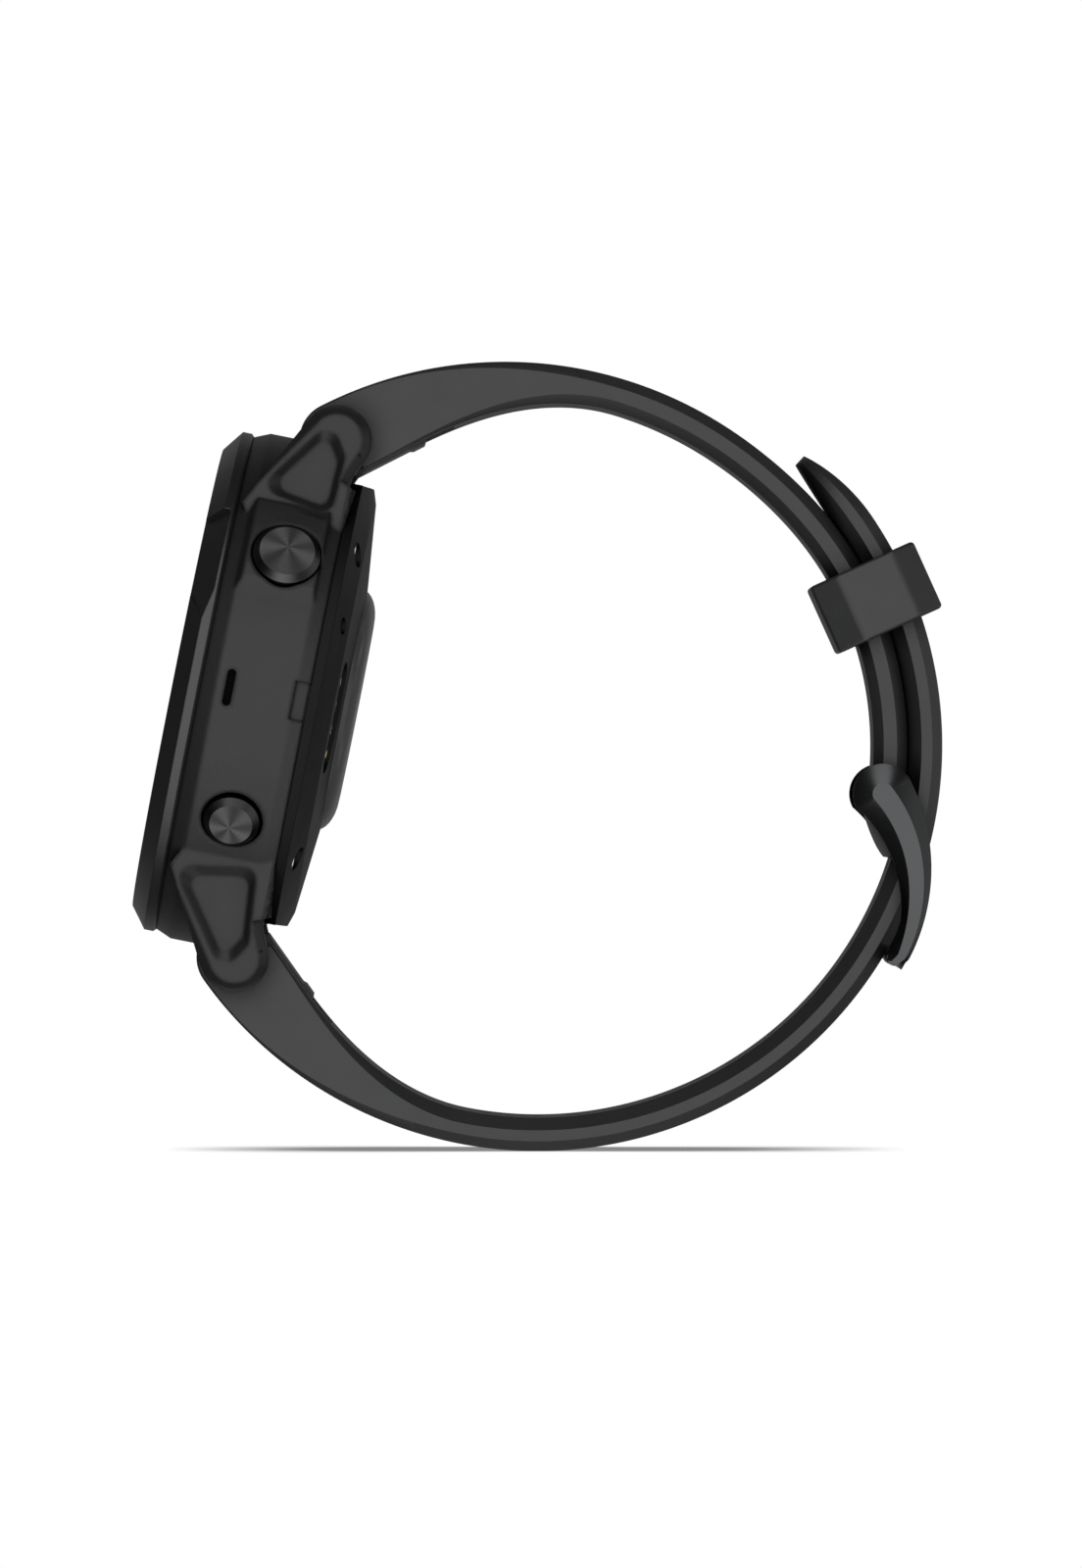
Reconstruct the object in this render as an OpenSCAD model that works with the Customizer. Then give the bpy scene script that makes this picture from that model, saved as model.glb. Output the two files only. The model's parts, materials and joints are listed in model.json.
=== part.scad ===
// GPS running watch, fastened: round case on two soft strap halves closed by a pin buckle.
// Lengths in mm. Y runs along the wrist, Z is up, the display faces -X and the buckle +X.
// The origin is the middle of the wrist opening.
// The head is drawn in its own frame: x to 3 o'clock, y to 12 o'clock, z out of the display.

/* [Head] */
// Head origin from the wrist axis, across
head_x = -32.86; // [-36:0.01:-31]
// Head origin from the wrist axis, up
head_z = 6.25; // [4:0.01:8]
// Lean of the head back from upright, degrees
tilt = 11.25; // [5:0.25:18]

/* [Case] */
// Diameter of the mid-case
case_d = 42; // [41:0.1:44]
// Height of the mid-case
mid_h = 8.8; // [8.4:0.05:9.6]
// Height of the soft bevel at the front edge
front_bevel_h = 1.3; // [0.8:0.05:1.6]
// Inset of the front bevel
front_bevel_in = 0.55; // [0.3:0.05:0.8]
// Height of the bevel at the rear edge
rear_bevel_h = 1.2; // [0.8:0.05:1.5]
// Inset of the rear bevel
rear_bevel_in = 0.3; // [0.1:0.05:0.6]
// Thickness of the case wall
case_wall = 4.4; // [4.1:0.05:4.6]
// Width of the ledge that carries the board
ledge_w = 1.4; // [1:0.05:1.8]
// Thickness of the ledge
ledge_t = 0.3; // [0.25:0.01:0.32]

/* [Guard] */
// Rise of the guard round the start key
guard_rise = 0.75; // [0.4:0.05:1.1]
// First angle of the guard
guard_a0 = 21.6; // [20:0.1:22]
// Sweep of the guard up to the lug
guard_sweep = 24; // [22:0.5:26]
// Length of the ramp at the guard's lower end
guard_ramp = 1; // [0.6:0.05:1.4]
// Bevel of the guard
guard_bevel = 0.3; // [0.2:0.05:0.6]
// Margin of the guard from the front and rear edges
guard_margin = 1.0; // [0.6:0.05:1.3]

/* [Lugs] */
// Bar centre past the case side
bar_out = 0.4; // [0.2:0.05:1]
// Bar centre below the bezel joint
bar_drop = 6.87; // [6.6:0.01:7]
// Radius of the strap bar
bar_r = 0.8; // [0.7:0.05:0.95]
// Depth of the bar in each lug
bar_seat = 1.3; // [1:0.05:1.6]
// Free length at the bar ends
bar_slack = 0.05; // [0.02:0.01:0.1]
// Radius of the rounded lug end
lug_r = 2.8; // [2.6:0.05:3]
// Thickness of a lug at its end
lug_t = 3.3; // [3:0.05:3.6]
// Lean of the outer face of an upper lug, per mm
upper_lean = 0.17; // [0.1:0.01:0.22]
// Lean of the outer face of a lower lug, per mm
lower_lean = 0.24; // [0.2:0.01:0.28]
// Step from the case's rear face to the lugs' rear face
lug_step = 0.15; // [0.1:0.05:0.3]
// Bevel round the outer lug face
lug_bevel = 0.75; // [0.4:0.05:0.9]
// Share of the front lug edge over which its bevel runs out
bevel_run = 0.85; // [0.7:0.05:0.95]
// Front edge of a lug where it leaves the case, in from the bar
lug_front_in = 6.5; // [6.1:0.05:6.9]
// Root of an upper lug in the case, in from its front edge
upper_base_in = 1.5; // [1.3:0.05:1.7]
// Root of a lower lug in the case, in from its front edge
lower_base_in = 1.9; // [1.8:0.05:2.2]
// Drop of the lug front edge below the bezel joint
lug_front_drop = 0.35; // [0.2:0.05:0.6]
// Depth of the triangular recess
recess_d = 0.7; // [0.5:0.05:1]
// Corner radius of the recess floor
recess_r = 0.8; // [0.6:0.05:1]
// Slope of the recess wall
recess_flare = 0.7; // [0.2:0.05:0.8]
// Centre of the recess from the bar, inwards
recess_in = 3.2; // [3:0.05:3.4]
// Centre of the recess from the bar, towards the display
recess_up = 1.2; // [1:0.05:1.4]
// Corner at the lug's end, from the recess centre: towards the wrist, outwards
recess_end = [0.3, 2.1]; // [0:0.05:3]
// Corner beside it on the wrist side
recess_side = [0.8, 1.3]; // [0:0.05:3]
// Corner of an upper recess on the display side: towards the display, inwards
recess_upper_front = [1.85, 0.9]; // [0:0.05:3]
// Corner of an upper recess on the wrist side: towards the wrist, inwards
recess_upper_rear = [0.7, 1.35]; // [0:0.05:3]
// Corner of a lower recess on the display side: towards the display, inwards
recess_lower_front = [2.5, 1.95]; // [0:0.05:3]
// Corner of a lower recess on the wrist side: towards the wrist, inwards
recess_lower_rear = [0.5, 2.45]; // [0:0.05:3]

/* [Bezel and lens] */
// Step in from the case side to the bezel side
bezel_in = 0.3; // [0.15:0.05:0.5]
// Height of the bezel
bezel_h = 2.24; // [2.2:0.02:2.6]
// Width of the front chamfer
bezel_chamfer_w = 1.7; // [1.4:0.05:1.9]
// Height of the chamfer
bezel_chamfer_h = 1.3; // [1.1:0.05:1.5]
// Height of the thin rim left at the key marks
rim_h = 0.4; // [0.3:0.05:0.6]
// Inset of the facet at the key marks
facet_in = 0.5; // [0.3:0.05:0.7]
// Run-out of the facet, degrees
facet_run = 7.5; // [6:0.1:9]
// Shortfall of the facet from the guard's end, degrees
facet_short = 2.4; // [2:0.1:3]
// Depth of the bezel spigot in the case
spigot_h = 1.2; // [0.9:0.05:1.4]
// Wall of the bezel spigot
spigot_w = 0.55; // [0.45:0.05:0.7]
// Radial play of spigots in the cavity
spigot_gap = 0.05; // [0.02:0.01:0.1]
// Reach of the lens past the cavity
lens_over = 1.2; // [1:0.05:1.4]
// Thickness of the lens
lens_t = 1.3; // [1.2:0.02:1.4]
// Drop of the lens below the bezel front
lens_drop = 0.1; // [0.05:0.01:0.15]
// Chamfer of the lens edge
lens_chamfer = 0.25; // [0.15:0.05:0.35]
// Play round the lens
lens_gap = 0.05; // [0.03:0.01:0.1]
// Thickness of the lens gasket
gasket_t = 0.2; // [0.15:0.01:0.25]

/* [Display stack] */
// Inset of the display from the cavity
display_in = 1.3; // [1.1:0.05:1.6]
// Thickness of the display
display_t = 1.4; // [1.2:0.05:1.5]
// Width of the border round the display
border_w = 1.1; // [0.8:0.05:1.4]
// Thickness of the display carrier plate
carrier_t = 0.5; // [0.4:0.05:0.6]
// Wall of the display carrier
carrier_w = 0.8; // [0.6:0.05:1]
// Play between the carrier and the spigot
carrier_gap = 0.1; // [0.05:0.01:0.15]
// Drop of the board face below the bezel joint
board_drop = 2.2; // [2.1:0.05:2.4]
// Thickness of the board
board_t = 0.7; // [0.6:0.05:0.8]
// Play round the board
board_gap = 0.1; // [0.05:0.01:0.2]
// Height of the chips
chip_h = 0.7; // [0.5:0.05:0.8]
// Length of the largest chip
chip_l = 8; // [6:0.1:9]

/* [Battery and motor] */
// Inset of the battery from the cavity
battery_in = 3.8; // [3.7:0.05:4.2]
// Height of the battery
battery_h = 4.1; // [3.8:0.05:4.3]
// Rounding of the battery edge
battery_edge = 0.5; // [0.3:0.05:0.8]
// Radius of the vibration motor
motor_r = 3.5; // [3.3:0.05:3.6]
// Height of the vibration motor
motor_h = 2.7; // [2.5:0.05:2.9]
// Clearance from the battery to the motor
motor_gap = 0.5; // [0.4:0.05:0.6]
// Wall of the motor can
motor_wall = 0.25; // [0.2:0.01:0.3]
// Shaft radius of the motor
motor_shaft_r = 0.4; // [0.35:0.01:0.5]
// Hub radius of the rotor
hub_r = 1; // [0.8:0.05:1.2]
// Clearance round the rotor weight
rotor_gap = 0.25; // [0.2:0.01:0.3]
// Running clearance of turning pins
run_gap = 0.05; // [0.03:0.01:0.08]

/* [Rear cover] */
// Step in from the case side to the rear rim
rear_in = 0.15; // [0.05:0.05:0.3]
// Height of the rear rim
rear_rim_h = 0.8; // [0.6:0.05:0.9]
// Height of the outer slope
slope_h = 1.25; // [1.1:0.05:1.35]
// Width of the outer slope
slope_w = 3.85; // [3.6:0.05:4]
// Height of the inner slope
crown_h = 0.7; // [0.6:0.05:0.9]
// Cover plate thickness under the rim
plate_t = 0.6; // [0.5:0.05:0.7]
// Clearance from a strap root to the cover's cut end
rear_gap = 0.15; // [0.1:0.05:0.3]
// Width of the inner slope
crown_w = 7; // [6.8:0.05:7.3]
// Height of the sensor lens over the crown
sensor_h = 1.05; // [0.9:0.05:1.15]
// Rounding of the sensor lens edge
sensor_edge = 2.6; // [1.2:0.05:3]
// Wall of the sensor lens
sensor_wall = 1.3; // [1.1:0.05:1.5]
// Thickness of the sensor board
sensor_board_t = 0.5; // [0.4:0.05:0.6]
// Size of a sensor light
led_l = 1.8; // [1.4:0.1:2]
// Height of a sensor light
led_h = 0.6; // [0.4:0.05:0.7]
// Number of sensor lights
leds = 6; // [4:1:8]
// Radius of the light ring
led_ring = 4.6; // [4:0.1:5]
// Middle of the rear gasket past the cavity
rear_gasket_out = 0.7; // [0.6:0.02:0.75]
// Width of the rear gasket
rear_gasket_w = 0.55; // [0.45:0.05:0.6]
// Depth of the rear gasket groove
rear_groove_d = 0.6; // [0.5:0.05:0.7]
// Circle of the rear screws past the cavity
screw_out = 1.95; // [1.85:0.05:2.05]
// Angle of the rear screws from 3 o'clock
screw_a = 42.5; // [42:0.1:43]
// Head radius of a rear screw
screw_head_r = 0.95; // [0.85:0.05:1]
// Head height of a rear screw
screw_head_h = 0.55; // [0.45:0.05:0.6]
// Thread radius of a rear screw
screw_r = 0.5; // [0.45:0.01:0.55]
// Thread length in the mid-case
screw_l = 2; // [1.6:0.1:2.2]
// Socket radius of a rear screw
socket_r = 0.5; // [0.4:0.05:0.55]
// Socket depth of a rear screw
socket_d = 0.38; // [0.3:0.02:0.42]
// Angle of the pressure port
port_a = 21; // [20:0.5:23]
// Radius of the pressure port
port_r = 0.7; // [0.5:0.05:0.8]

/* [Charging port] */
// Clearance from the sensor lens to the port
charge_gap = 1.8; // [1.7:0.05:2]
// Centre of the port towards 6 o'clock
charge_y = 0.75; // [0.5:0.05:1]
// Length of the port
charge_l = 9.2; // [9:0.1:9.4]
// Width of the port
charge_w = 3.6; // [3.4:0.05:3.7]
// Depth of the port floor below the slope start
charge_d = 0.35; // [0.25:0.05:0.4]
// Number of contacts
contacts = 4; // [2:1:4]
// Pitch of the contacts
contact_pitch = 2; // [1.9:0.05:2.1]
// Radius of a contact
contact_r = 0.5; // [0.4:0.05:0.55]
// Height of a contact over the port floor
contact_h = 0.5; // [0.4:0.05:0.6]

/* [Side openings] */
// Length of the vent slot
vent_l = 3; // [2.6:0.1:3.4]
// Height of the vent slot
vent_h = 0.7; // [0.6:0.05:0.8]
// Drop of the vent slot below the bezel joint
vent_drop = 2.34; // [2.2:0.02:2.5]
// Depth of the vent slot
vent_d = 1.2; // [1:0.05:1.4]
// Thickness of the vent membrane
membrane_t = 0.25; // [0.2:0.01:0.3]
// Length of the pry notch
notch_l = 3.2; // [3:0.1:3.4]
// Height of the pry notch
notch_h = 1.3; // [1:0.05:1.4]
// Depth of the pry notch
notch_d = 0.8; // [0.6:0.05:1]

/* [Keys] */
// Drop of the start key below the bezel joint
start_drop = 4.76; // [4.7:0.02:4.8]
// Drop of the other keys
key_drop = 4.6; // [4.5:0.02:4.7]
// Angle of the start key above 3 o'clock
start_a = 31.7; // [31:0.1:32]
// Angle of the other keys off the 3 to 9 o'clock line
key_a = 30; // [29.5:0.1:30.5]
// Cap radius of the start key
start_r = 2.75; // [2.6:0.05:2.8]
// Cap radius of the other keys
key_r = 2.25; // [2.1:0.05:2.4]
// Rise of the start key over the case side
start_rise = 1.3; // [1.1:0.05:1.5]
// Rise of the other keys
key_rise = 0.74; // [0.6:0.02:0.9]
// Clearance round the start key
start_gap = 0.15; // [0.12:0.01:0.2]
// Clearance round the other keys
key_gap = 0.28; // [0.2:0.01:0.3]
// Chamfer of a cap
cap_chamfer = 0.5; // [0.35:0.05:0.6]
// Length of the cap under the case side
cap_sink = 1.4; // [1.3:0.05:1.5]
// Depth of the key counterbore
key_well = 2.4; // [2.35:0.05:2.5]
// Travel of a key
key_travel = 0.7; // [0.5:0.05:0.75]
// Stem radius
stem_r = 0.85; // [0.8:0.01:0.9]
// Stem length past the cavity wall
stem_out = 0.8; // [0.75:0.05:0.9]
// Depth of the spring pocket in the cap
pocket_d = 1.15; // [1:0.05:1.2]
// Spring mean radius
spring_r = 1.55; // [1.5:0.01:1.6]
// Spring wire radius
spring_wire = 0.13; // [0.11:0.01:0.14]
// Spring turns
spring_turns = 3; // [2:1:4]
// Radial room on each side of the spring
spring_room = 0.2; // [0.15:0.01:0.22]
// Thickness of the stem clip
clip_t = 0.3; // [0.25:0.01:0.35]
// Radius of the stem clip
clip_r = 1.25; // [1.15:0.01:1.28]
// Depth of the clip groove
clip_groove = 0.25; // [0.2:0.01:0.3]
// Clearance of the clip from the wall
clip_gap = 0.1; // [0.06:0.01:0.14]
// Depth of the flat behind a clip
spot_d = 0.12; // [0.1:0.01:0.2]
// Section of the stem seal
seal_w = 0.5; // [0.4:0.05:0.55]
// Width of a side switch
switch_w = 3; // [2.6:0.1:3.2]
// Depth of a side switch
switch_d = 1.1; // [0.9:0.05:1.2]
// Gap from a stem to its switch
switch_gap = 0.1; // [0.05:0.01:0.15]

/* [Strap] */
// Strap width at the lugs
strap_w = 20; // [19.6:0.05:20.3]
// Clearance from a lug to the strap
strap_gap = 0.2; // [0.15:0.01:0.3]
// Strap width at the free ends
tail_w = 18; // [17.4:0.1:18.4]
// Strap thickness
strap_t = 2.72; // [2.5:0.02:2.9]
// Strap thickness at the lugs
root_t = 6.2; // [6:0.05:6.4]
// Sweep of the taper from the lug, degrees
taper_deg = 44; // [40:0.5:48]
// Bevel along the strap edges
strap_bevel = 0.82; // [0.6:0.02:0.95]
// Largest share of a bevel in the strap's thickness
bevel_share = 0.3; // [0.2:0.01:0.35]
// Bevel of the strap at the lug
root_bevel = 0.15; // [0.1:0.01:0.3]
// Setback of the root's ends from the strap's sides
root_inset = 0.1; // [0.05:0.05:0.2]
// Clearance of the strap root in the case
root_gap = 0.5; // [0.45:0.05:0.6]
// Clearance of the strap on its bar
hook_gap = 0.1; // [0.06:0.01:0.15]

/* [Strap curve] */
// Centre of the long strap's arc, across
lower_cx = -6; // [-6.5:0.05:-5.5]
// Centre of the long strap's arc, up
lower_cz = 1.15; // [0.9:0.05:1.4]
// Outer radius of the long strap
lower_r = 32.85; // [32.5:0.05:33.5]
// Outward rise of the tail over the buckle pin
tail_rise = 0.3; // [0.2:0.02:0.4]
// Angle where the long strap starts to rise
rise_a0 = 230; // [220:1:250]
// Angle where the long strap has risen
rise_a1 = 325; // [315:1:335]
// Angle of the tail's end
tail_deg = 47; // [44:0.5:49]
// Sweep of the thinned tip, degrees
tip_deg = 13; // [10:0.5:16]
// Inward fall of the tip's outer face
tip_fall = 0.95; // [0.7:0.05:1.2]
// Thinning of the tip
tip_thin = 1.85; // [1.5:0.05:2]
// Length of the rounding of the tip
tip_round = 7.5; // [6:0.1:9]
// Share of the strap's width left at the tip
tip_width = 0.45; // [0.3:0.01:0.6]
// Centre of the short strap's arc, across
upper_cx = -8; // [-8.4:0.05:-7.6]
// Centre of the short strap's arc, up
upper_cz = -0.8; // [-1.1:0.05:-0.5]
// Outer radius of the short strap's free run, taken on to 3 o'clock
upper_r1 = 32.6; // [32.4:0.05:32.8]
// Angle up to which the short strap follows the tail
lay_a0 = 25; // [20:1:30]
// Angle where the short strap runs free of the tail
lay_a1 = 60; // [55:1:65]
// Gap between the tail and the short strap
lay_gap = 0.15; // [0.12:0.01:0.25]

/* [Latches] */
// Length of a latch behind the bar
latch_l = 6.4; // [6:0.1:6.8]
// Nose of a latch past the bar
latch_nose = 1.4; // [1.2:0.05:1.6]
// Travel of a latch
latch_travel = 2.4; // [2.2:0.05:2.5]
// Width of a latch
latch_w = 12; // [10:0.1:13]
// Overhang of the guide rail on each side
rail_w = 1; // [0.8:0.05:1.2]
// Height of the guide rail over the bar centre
rail_z = 1.5; // [1.45:0.02:1.6]
// Thickness of the guide rail
rail_t = 0.7; // [0.6:0.02:0.8]
// Stand of a latch out of the strap
latch_stand = 0.3; // [0.2:0.02:0.4]
// Height of the thumb rib
rib_h = 0.3; // [0.2:0.02:0.4]
// Width of the thumb rib
rib_w = 1; // [0.8:0.05:1.3]
// Clearance round a latch
latch_gap = 0.12; // [0.1:0.01:0.15]
// Length of the latch spring
latch_spring_l = 4.8; // [4.6:0.1:5]
// Mean radius of the latch spring
latch_spring_r = 0.45; // [0.4:0.01:0.5]
// Wire radius of the latch spring
latch_wire = 0.1; // [0.08:0.01:0.11]
// Turns of the latch spring
latch_turns = 5; // [4:1:6]

/* [Holes] */
// Length of a strap hole
hole_l = 5.3; // [5.2:0.05:5.6]
// Width of a strap hole
hole_w = 2.6; // [2.5:0.05:3]
// Pitch of the strap holes
hole_pitch = 7.2; // [7:0.1:7.6]
// Number of holes on the body side of the tongue
holes_back = 6; // [4:1:7]
// Number of holes on the tail side of the tongue
holes_on = 3; // [2:1:3]
// Angle of the hole in use
hole_deg = -14.9; // [-16.6:0.1:-14]

/* [Keeper] */
// Angle of the keeper on the strap
keeper_deg = 24.3; // [22:0.1:27]
// Length of the keeper along the strap
keeper_l = 5.9; // [5.5:0.1:6.3]
// Wall of the keeper towards the wrist
keeper_in = 1.5; // [1.2:0.05:1.7]
// Wall of the keeper away from the wrist
keeper_out = 1.4; // [1.2:0.05:1.7]
// Side wall of the keeper
keeper_side = 1.6; // [1.3:0.05:1.9]
// Clearance in the keeper
keeper_gap = 0.28; // [0.25:0.01:0.35]
// Inner bevel of the keeper
keeper_bevel_in = 2.4; // [2:0.05:2.6]
// Outer bevel of the keeper
keeper_bevel_out = 2; // [1.6:0.05:2.2]
// Sideways reach of the keeper bevels
keeper_bevel_y = 1.1; // [0.9:0.05:1.2]
// Small bevel on the keeper's ends
keeper_edge = 0.3; // [0.2:0.05:0.4]

/* [Buckle] */
// Height of the buckle pin
pin_z = -2.8; // [-3:0.02:-2.6]
// Radius of the buckle pin
pin_r = 0.8; // [0.7:0.02:0.85]
// Radius of the strap end round the pin
barrel_r = 1.7; // [1.6:0.02:1.8]
// Clearance of the strap end from the tail
barrel_gap = 0.15; // [0.12:0.01:0.2]
// Length of the lip under the pin
lip_l = 5.16; // [5:0.02:5.4]
// Thickness of the lip's end
lip_t = 0.25; // [0.15:0.05:0.4]
// Angle where the lip leaves the strap end on the wrist side
lip_a0 = -165; // [-170:1:-160]
// Angle where the lip leaves the strap end on the tail side
lip_a1 = -40; // [-45:1:-35]
// Straight run of the lip's wrist side
lip_run = 3.7; // [3.4:0.05:4]
// Radius of the buckle head
head_r = 2.45; // [2.3:0.02:2.5]
// Radius of the buckle's outer curve
bow_r = 15.8; // [15.4:0.05:16.2]
// Angle of the pin on the buckle's curve
bow_a0 = 27; // [26.5:0.1:27.5]
// Angle of the buckle's tip
bow_a1 = -31.5; // [-32:0.1:-31]
// Width of a buckle arm at its tip
arm_tip = 1.85; // [1.7:0.05:2]
// Thickness of a buckle arm
arm_t = 1.75; // [1.6:0.05:1.9]
// Narrowing of an arm over its length, as a power
arm_power = 1.15; // [1:0.05:1.3]
// Share of the arm's width taken off by the rounding of its tip
arm_round = 0.35; // [0.2:0.05:0.4]
// Sweep of the rounding of the tip, degrees
arm_round_deg = 4; // [3:0.5:5]
// Bevel of a buckle arm towards the strap
arm_bevel = 0.42; // [0.3:0.02:0.5]
// Depth of the wide outer bevels of an arm
arm_slope = 0.7; // [0.5:0.05:0.9]
// Width of the flat strip of an arm at its head
strip_head = 1.75; // [1.5:0.05:2]
// Width of the flat strip of an arm at its tip
strip_tip = 0.5; // [0.3:0.05:0.7]
// Narrowing of the flat strip, as a power
strip_power = 0.7; // [0.5:0.05:1]
// Width of the bevel along the outer curve at the tip
band_tip = 0.3; // [0.2:0.05:0.4]
// Fall of the flat strip at the tip
strip_fall = 0.45; // [0.3:0.05:0.5]
// Sweep of the fall of the flat strip, degrees
strip_fall_deg = 7; // [5:0.5:9]
// Cover of an arm over the pin's end
pin_cover = 0.9; // [0.7:0.05:1]
// Bevel of the pin's ends
pin_bevel = 0.1; // [0.05:0.01:0.15]
// Clearance from the strap to a buckle arm
arm_gap = 0.35; // [0.3:0.01:0.45]
// Radius of the end bar
end_bar_r = 0.65; // [0.6:0.01:0.7]
// Radius of the saddle in the end bar
saddle_r = 0.35; // [0.3:0.01:0.4]
// Sweep from the tip to the end bar, degrees
end_bar_deg = 2; // [1.5:0.1:2.5]
// Inset of the end bar from the outer curve
end_bar_in = 1.05; // [1:0.01:1.1]
// Width of the tongue
tongue_w = 2; // [1.8:0.05:2.1]
// Thickness of the tongue
tongue_t = 0.7; // [0.6:0.02:0.75]
// Bevel of the tongue
tongue_bevel = 0.15; // [0.1:0.01:0.2]
// Radius of the tongue's eye
eye_r = 1.5; // [1.4:0.02:1.6]
// Side clearance of the tongue
tongue_gap = 0.25; // [0.2:0.01:0.3]
// Sweep where the tongue starts its way through the strap, below 3 o'clock
tongue_dip = 8.4; // [8:0.1:9]
// Sweep short of the pin where the tongue is through the strap
tongue_short = 4; // [3:0.5:5]
// Reach of the tongue past the buckle's tip, degrees
tongue_over = 0; // [-0.2:0.1:1]
// End of the tongue's blade before the pin, degrees
tongue_stop = 1.5; // [1:0.1:2]
// Rest clearance of the tongue on the end bar
tongue_rest = 0.08; // [0.06:0.01:0.1]

/* [Hidden] */
$fn = 96;
eps = 0.01;
far = 8;
case_r = case_d / 2;
cavity_r = case_r - case_wall;
bezel_r = case_r - bezel_in;
bezel_flat_r = bezel_r - bezel_chamfer_w;
lens_r = cavity_r + lens_over;
display_r = cavity_r - display_in;
battery_r = cavity_r - battery_in;
battery_flat = battery_r / 2;
motor_y = battery_flat + motor_r + motor_gap;
rear_r = case_r - rear_in;
slope_r = rear_r - slope_w;
sensor_r = slope_r - crown_w;
rear_gasket_r = cavity_r + rear_gasket_out;
screw_ring = cavity_r + screw_out;
charge_x = sensor_r + charge_gap + charge_w / 2;
slope_z = -mid_h - rear_rim_h;
crown_z = slope_z - slope_h;
sensor_z = crown_z - crown_h;
root_r = root_t / 2;
bar_y = case_r + bar_out;
bar_z = -bar_drop;
rear_flat_y = bar_y - root_r - rear_gap;
lug_x0 = strap_w / 2 + strap_gap;
lug_x1 = lug_x0 + lug_t;
lug_tip_y = bar_y + lug_r;
lug_root_y = chord(case_r, lug_x0) + strap_gap;
lug_front_y = bar_y - lug_front_in;
ledge_z = -board_drop - board_t;
spigot_r = cavity_r - spigot_gap;
carrier_r = spigot_r - spigot_w - carrier_gap;
lens_z = bezel_h - lens_drop - lens_t;
lens_seat_z = lens_z - gasket_t;
display_z = lens_z - display_t;
well_r = case_r - key_well;
stem_end = cavity_r - stem_out;
spot_z = cavity_r + spot_d;
clip_z = spot_z - clip_gap - clip_t;
seal_mid = (cavity_r + well_r) / 2;
cover_in_z = slope_z - plate_t;
lens_back_z = cover_in_z;

lower_c = [lower_cx, lower_cz];
upper_c = [upper_cx, upper_cz];
keeper_c = (lower_c + upper_c) / 2;
upper_bar_at = head_pt(bar_y, bar_z);
lower_bar_at = head_pt(-bar_y, bar_z);
upper_a0 = polar(upper_bar_at - upper_c);
lower_a0 = polar(lower_bar_at - lower_c) + 360;
lower_a1 = tail_deg + 360;
upper_r0 = norm(upper_bar_at - upper_c) + root_r;
lower_r0 = norm(lower_bar_at - lower_c) + root_r;
tail_r = lower_r + tail_rise;
tail_in = tail_r - strap_t;
lay_r = tail_in - lay_gap;
lay_d = lower_c - upper_c;
pin_at = [lower_cx + chord(tail_in, pin_z - lower_cz) - barrel_r - barrel_gap, pin_z];
lip_z = pin_z - lip_l;
lip_at = [lower_cx + chord(lay_r, lip_z - lower_cz), lip_z];
upper_a1 = polar(pin_at - upper_c);
upper_rings = 28;
lower_rings = 40;
tip_rings = 8;
lip_steps = 6;
recess_steps = 4;
lug_steps = 14;
dome_steps = 8;
coil_steps = 10;
coil_sides = 6;
arm_rings = 24;
head_rings = 8;
head_sweep = 80;
strip_close = 0.98;
tongue_rings = 18;
hole_step = hole_pitch / (lower_r - strap_t / 2) * 180 / PI;
bow_c = pin_at - (bow_r - head_r) * dir(bow_a0);
bow_blend = 45;
end_bar_a = bow_a1 + end_bar_deg;
end_bar_at = bow_c + (bow_r - end_bar_in) * dir(end_bar_a);
tongue_path_r = bow_r - end_bar_in + saddle_r + tongue_rest + tongue_t / 2;
arm_y0 = tail_w / 2 + arm_gap;
arm_y1 = arm_y0 + arm_t;
latch_top = root_r + latch_stand;
latch_sample = 0.32;
// Each key: angle, drop, cap radius, rise, clearance
start_key = [start_a, start_drop, start_r, start_rise, start_gap];
back_key = [-key_a, key_drop, key_r, key_rise, key_gap];
light_key = [180 - start_a, key_drop, key_r, key_rise, key_gap];
up_key = [180, key_drop, key_r, key_rise, key_gap];
down_key = [180 + key_a, key_drop, key_r, key_rise, key_gap];
KEYS = [start_key, back_key, light_key, up_key, down_key];

black = [0.08, 0.08, 0.09];
graphite = [0.2, 0.2, 0.21];
steel = [0.62, 0.63, 0.65];
board_green = [0.08, 0.25, 0.18];

// Small geometry helpers
function dir(a) = [cos(a), sin(a)];
function polar(p) = atan2(p[1], p[0]);
function smooth(a, b, x) = let (t = min(1, max(0, (x - a) / (b - a)))) t * t * (3 - 2 * t);
function head_pt(y, z) = [head_x + y * sin(tilt) - z * cos(tilt), head_z + y * cos(tilt) + z * sin(tilt)];
function flat(l) = [for (a = l) for (b = a) b];
function chord(r, h) = sqrt(r * r - h * h);
function arc_mm(a, r) = a * PI / 180 * r;

// Strap curves: outer radius and thickness against the angle, s runs from the lug in taper lengths
function strap_th(s) = strap_t + (root_t - strap_t) * (1 - smooth(0, 1, s));
function half_w(s) = tail_w / 2 + (strap_w - tail_w) / 2 * (1 - smooth(0, 2, s));
function edge(s) = root_bevel + (strap_bevel - root_bevel) * smooth(0.1, 1, s);
function lower_s(a) = (a - lower_a0) / taper_deg;
function upper_s(a) = (upper_a0 - a) / taper_deg;
function lower_ro(a) = lower_r + (lower_r0 - lower_r) * (1 - smooth(0, 1, lower_s(a)))
    + tail_rise * smooth(rise_a0, rise_a1, a) - tip_fall * tip_q(a);
function lower_th(a) = strap_th(lower_s(a)) - tip_thin * tip_q(a);
function tip_q(a) = pow(max(0, (a - lower_a1 + tip_deg) / tip_deg), 2);
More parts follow.
